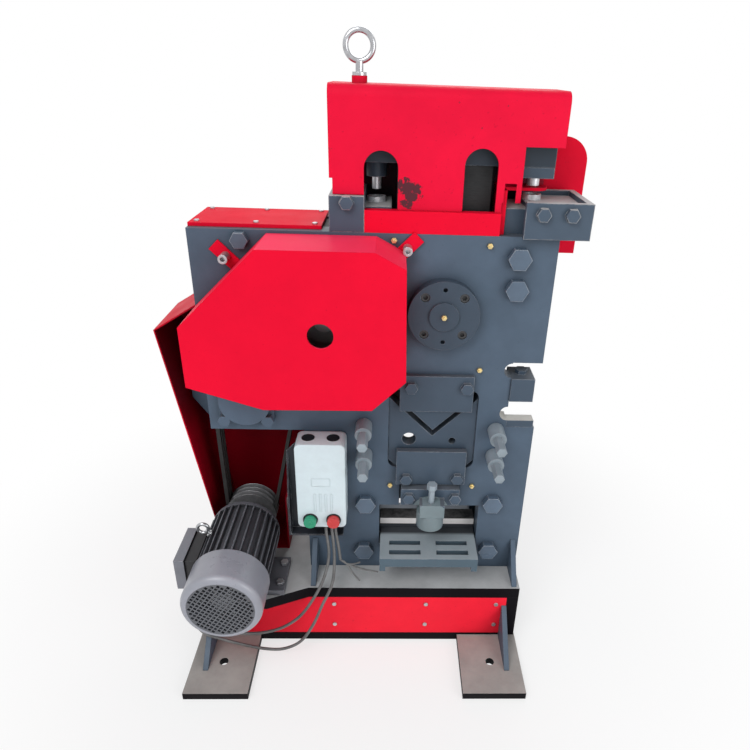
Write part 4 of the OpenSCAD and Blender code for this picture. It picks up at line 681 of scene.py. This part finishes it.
for look, names in WEARS.items():
    for name in names:
        nodes[name].data.materials.clear()
        nodes[name].data.materials.append(LOOKS[look])

# Cords: the same routes as the solids, in millimetres
LEAD_D = 7 * MM
CORE_D = 4 * MM
EXIT_Z = 347
GLAND_X, GLAND_Y, GLAND_Z = -390, (-190, -165), 214
GLAND_STEPS = (-22, -8, 8)
LEAD_A = [(-80, -112, EXIT_Z), (-78, -122, 318), (-71, -142, 262), (-84, -160, 204), (-110, -174, 152),
          (-142, -186, 110), (-184, -195, 84), (-234, -199, 72), (-288, -200, 72), (-336, -204, 84),
          (-369, -203, 106), (-386, -200, 138), (-391, -196, 168)]
LEAD_A += [(GLAND_X, GLAND_Y[0], GLAND_Z + h) for h in GLAND_STEPS]
LEAD_B = [(-68, -112, EXIT_Z), (-64, -124, 318), (-58, -148, 262), (-62, -170, 204), (-86, -186, 148),
          (-108, -197, 96), (-138, -206, 52), (-178, -211, 33), (-222, -212, 34), (-272, -212, 48),
          (-320, -215, 70), (-362, -210, 86), (-391, -186, 110), (-393, -170, 152)]
LEAD_B += [(GLAND_X, GLAND_Y[1], GLAND_Z + h) for h in GLAND_STEPS]
TAIL = [(-56, -112, EXIT_Z), (-56, -122, 318), (-50, -131, 284), (-45, -139, 246)]
CORE_BEND = Vector((14, -5, -7))
CORE_DROP = Vector((0, -1, -3))
CORE_ENDS = [(2, -150, 249), (44, -150, 219), (1, -152, 193)]
# Stops made of each stretch of a route, by use, and how finely a cord is rounded and bent
LEAD_STOPS = 2
TAIL_STOPS = 5
BOOT_STOPS = 12
CORD_ROUND = 4
CORD_SMOOTH = 6


def smooth(points, steps):
    """Places and slopes along the same smooth curve as the solids, in metres."""
    p = [Vector(q) * MM for q in points]
    last = len(p) - 1
    out = []
    for i in range(last):
        a, b, c, d = p[max(i - 1, 0)], p[i], p[i + 1], p[min(i + 2, last)]
        first, second, third = c - a, 2 * a - 5 * b + 4 * c - d, 3 * b - a - 3 * c + d
        for k in range(steps + (i == last - 1)):
            u = k / steps
            place = b + (first * u + second * u * u + third * u ** 3) / 2
            slope = (first + 2 * second * u + 3 * third * u * u) / 2
            out.append((place, slope / steps))
    return out


def make_cord(name, route, steps, diameter, node):
    curve = bpy.data.curves.new(name, "CURVE")
    curve.dimensions = "3D"
    curve.bevel_depth = diameter / 2
    curve.bevel_resolution = CORD_ROUND
    curve.resolution_u = CORD_SMOOTH
    curve.use_fill_caps = True
    stops = smooth(route, steps)
    spline = curve.splines.new("BEZIER")
    spline.bezier_points.add(len(stops) - 1)
    for spot, (place, slope) in zip(spline.bezier_points, stops):
        spot.handle_left_type = spot.handle_right_type = "FREE"
        spot.co = place
        spot.handle_left = place - slope / 3
        spot.handle_right = place + slope / 3
    obj = bpy.data.objects.new(name, curve)
    bpy.context.collection.objects.link(obj)
    curve.materials.append(LOOKS["sheath"])
    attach(obj, "machine")
    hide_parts(node)


# Sides of a round solid and of a hexagon
ROUND = 28
HEXAGON = 6


def turned(profile, foot, way, turns):
    """Points and faces of a turned solid: (radius, distance) pairs along way, from foot."""
    turn = Vector(way).to_track_quat("Z", "Y").to_matrix().to_4x4()
    place = Matrix.Translation(Vector(foot)) @ turn
    verts = []
    for r, h in profile:
        for k in range(turns):
            a = 2 * math.pi * k / turns
            verts.append(tuple(place @ Vector((r * math.cos(a), r * math.sin(a), h))))
    faces = []
    for i in range(len(profile) - 1):
        for k in range(turns):
            n = (k + 1) % turns
            faces.append((i * turns + k, i * turns + n, (i + 1) * turns + n, (i + 1) * turns + k))
    faces.append(tuple(reversed(range(turns))))
    faces.append(tuple(range((len(profile) - 1) * turns, len(profile) * turns)))
    return verts, faces


def add_piece(name, solids, look, smooth_sides):
    """One piece of the machine made of turned solids."""
    verts, faces = [], []
    for some_verts, some_faces in solids:
        faces += [tuple(i + len(verts) for i in face) for face in some_faces]
        verts += some_verts
    mesh = bpy.data.meshes.new(name)
    mesh.from_pydata(verts, [], faces)
    for face in mesh.polygons:
        face.use_smooth = smooth_sides and len(face.vertices) == 4
    mesh.materials.append(LOOKS[look])
    obj = bpy.data.objects.new(name, mesh)
    bpy.context.collection.objects.link(obj)
    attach(obj, "machine")


# Ribbed, tapered boots where the leads leave the starter. They start a little below the end of the lead, and point at
# the place on the route that lies this share of their length away
BOOT_L = 24 * MM
BOOT_R = (4.7 * MM, 4.0 * MM)
BOOT_FLANGE_R, BOOT_FLANGE_T = 5.2 * MM, 2.5 * MM
BOOT_RIBS = 5
BOOT_RIB_DEPTH = 0.5 * MM
BOOT_START = Vector((0, 0, -3 * MM))
BOOT_AIM = 0.8


def boot(name, route):
    rows = [(BOOT_FLANGE_R, 0.0), (BOOT_FLANGE_R, BOOT_FLANGE_T)]
    for i in range(BOOT_RIBS * 2 + 1):
        share = i / (BOOT_RIBS * 2)
        r = BOOT_R[0] + (BOOT_R[1] - BOOT_R[0]) * share
        h = BOOT_FLANGE_T + share * (BOOT_L - BOOT_FLANGE_T)
        rows.append((r if i % 2 == 0 else r - BOOT_RIB_DEPTH, h))
    way = [place for place, _ in smooth(route, BOOT_STOPS)]
    ahead = next(p for p in way if (p - way[0]).length > BOOT_L * BOOT_AIM)
    solid = turned(rows, way[0] + BOOT_START, ahead - way[0], ROUND)
    add_piece(name, [solid], "boot", True)


# Hexagon screws with washers that hold the covers at the back: radius and distance from the cover, and their places
# as degrees from +X round the rims of the rear gear cover, as X and Z on the belt guard, and as Z on the punch guard
WASHER = ((8.2 * MM, 0.0), (8.8 * MM, 0.4 * MM), (8.8 * MM, 1.2 * MM), (8.2 * MM, 1.6 * MM))
HEX_HEAD = ((7.5 * MM, 1.6 * MM), (7.5 * MM, 6.2 * MM), (6.5 * MM, 6.9 * MM))
BACK = (0.0, 1.0, 0.0)
SCREW_INSET = 15 * MM
GEAR_C, SHAFT_C = (0.168, 0.846), (-0.066857, 0.837799)
GEAR_TURNS, SHAFT_TURNS = (-95, -35, 25, 80), (125, 205)
GUARD_SCREWS = ((-0.322, 0.215), (-0.207, 0.215), (-0.207, 0.335), (-0.097, 0.600), (-0.097, 0.700),
                (-0.224, 0.816), (-0.322, 0.816), (-0.415, 0.757))
SHIELD_Z = (1.04, 1.14)


def rim(centre, radius, turns):
    """Places just inside a round rim."""
    return [(centre[0] + (radius - SCREW_INSET) * math.cos(math.radians(a)),
             centre[1] + (radius - SCREW_INSET) * math.sin(math.radians(a))) for a in turns]


def back_screws(name, node, places):
    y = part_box(node)[1][1]
    solids = []
    for x, z in places:
        solids.append(turned(WASHER, (x, y, z), BACK, ROUND))
        solids.append(turned(HEX_HEAD, (x, y, z), BACK, HEXAGON))
    add_piece(name, solids, "plated", False)


cover_low, cover_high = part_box("rear_gear_cover")
rear_rim = rim(GEAR_C, cover_high[0] - GEAR_C[0], GEAR_TURNS)
rear_rim += rim(SHAFT_C, SHAFT_C[0] - cover_low[0], SHAFT_TURNS)
back_screws("rear_cover_screws", "rear_gear_cover", rear_rim)
back_screws("guard_screws", "belt_guard", GUARD_SCREWS)
shield_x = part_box("punch_guard")[0][0] + SCREW_INSET
back_screws("punch_guard_screws", "punch_guard", [(shield_x, z) for z in SHIELD_Z])

make_cord("lead_a", LEAD_A, LEAD_STOPS, LEAD_D, "motor_leads")
make_cord("lead_b", LEAD_B, LEAD_STOPS, LEAD_D, "motor_leads")
make_cord("tail", TAIL, TAIL_STOPS, LEAD_D, "supply_tail")
for name, route in (("boot_a", LEAD_A), ("boot_b", LEAD_B), ("boot_tail", TAIL)):
    boot(name, route)
split = Vector(TAIL[-1])
bend = split + CORE_BEND
for number, end in enumerate(CORE_ENDS):
    way = [split, bend, (bend + Vector(end)) / 2 + CORE_DROP, Vector(end)]
    make_cord(f"core_{number}", way, TAIL_STOPS, CORE_D, "supply_tail")
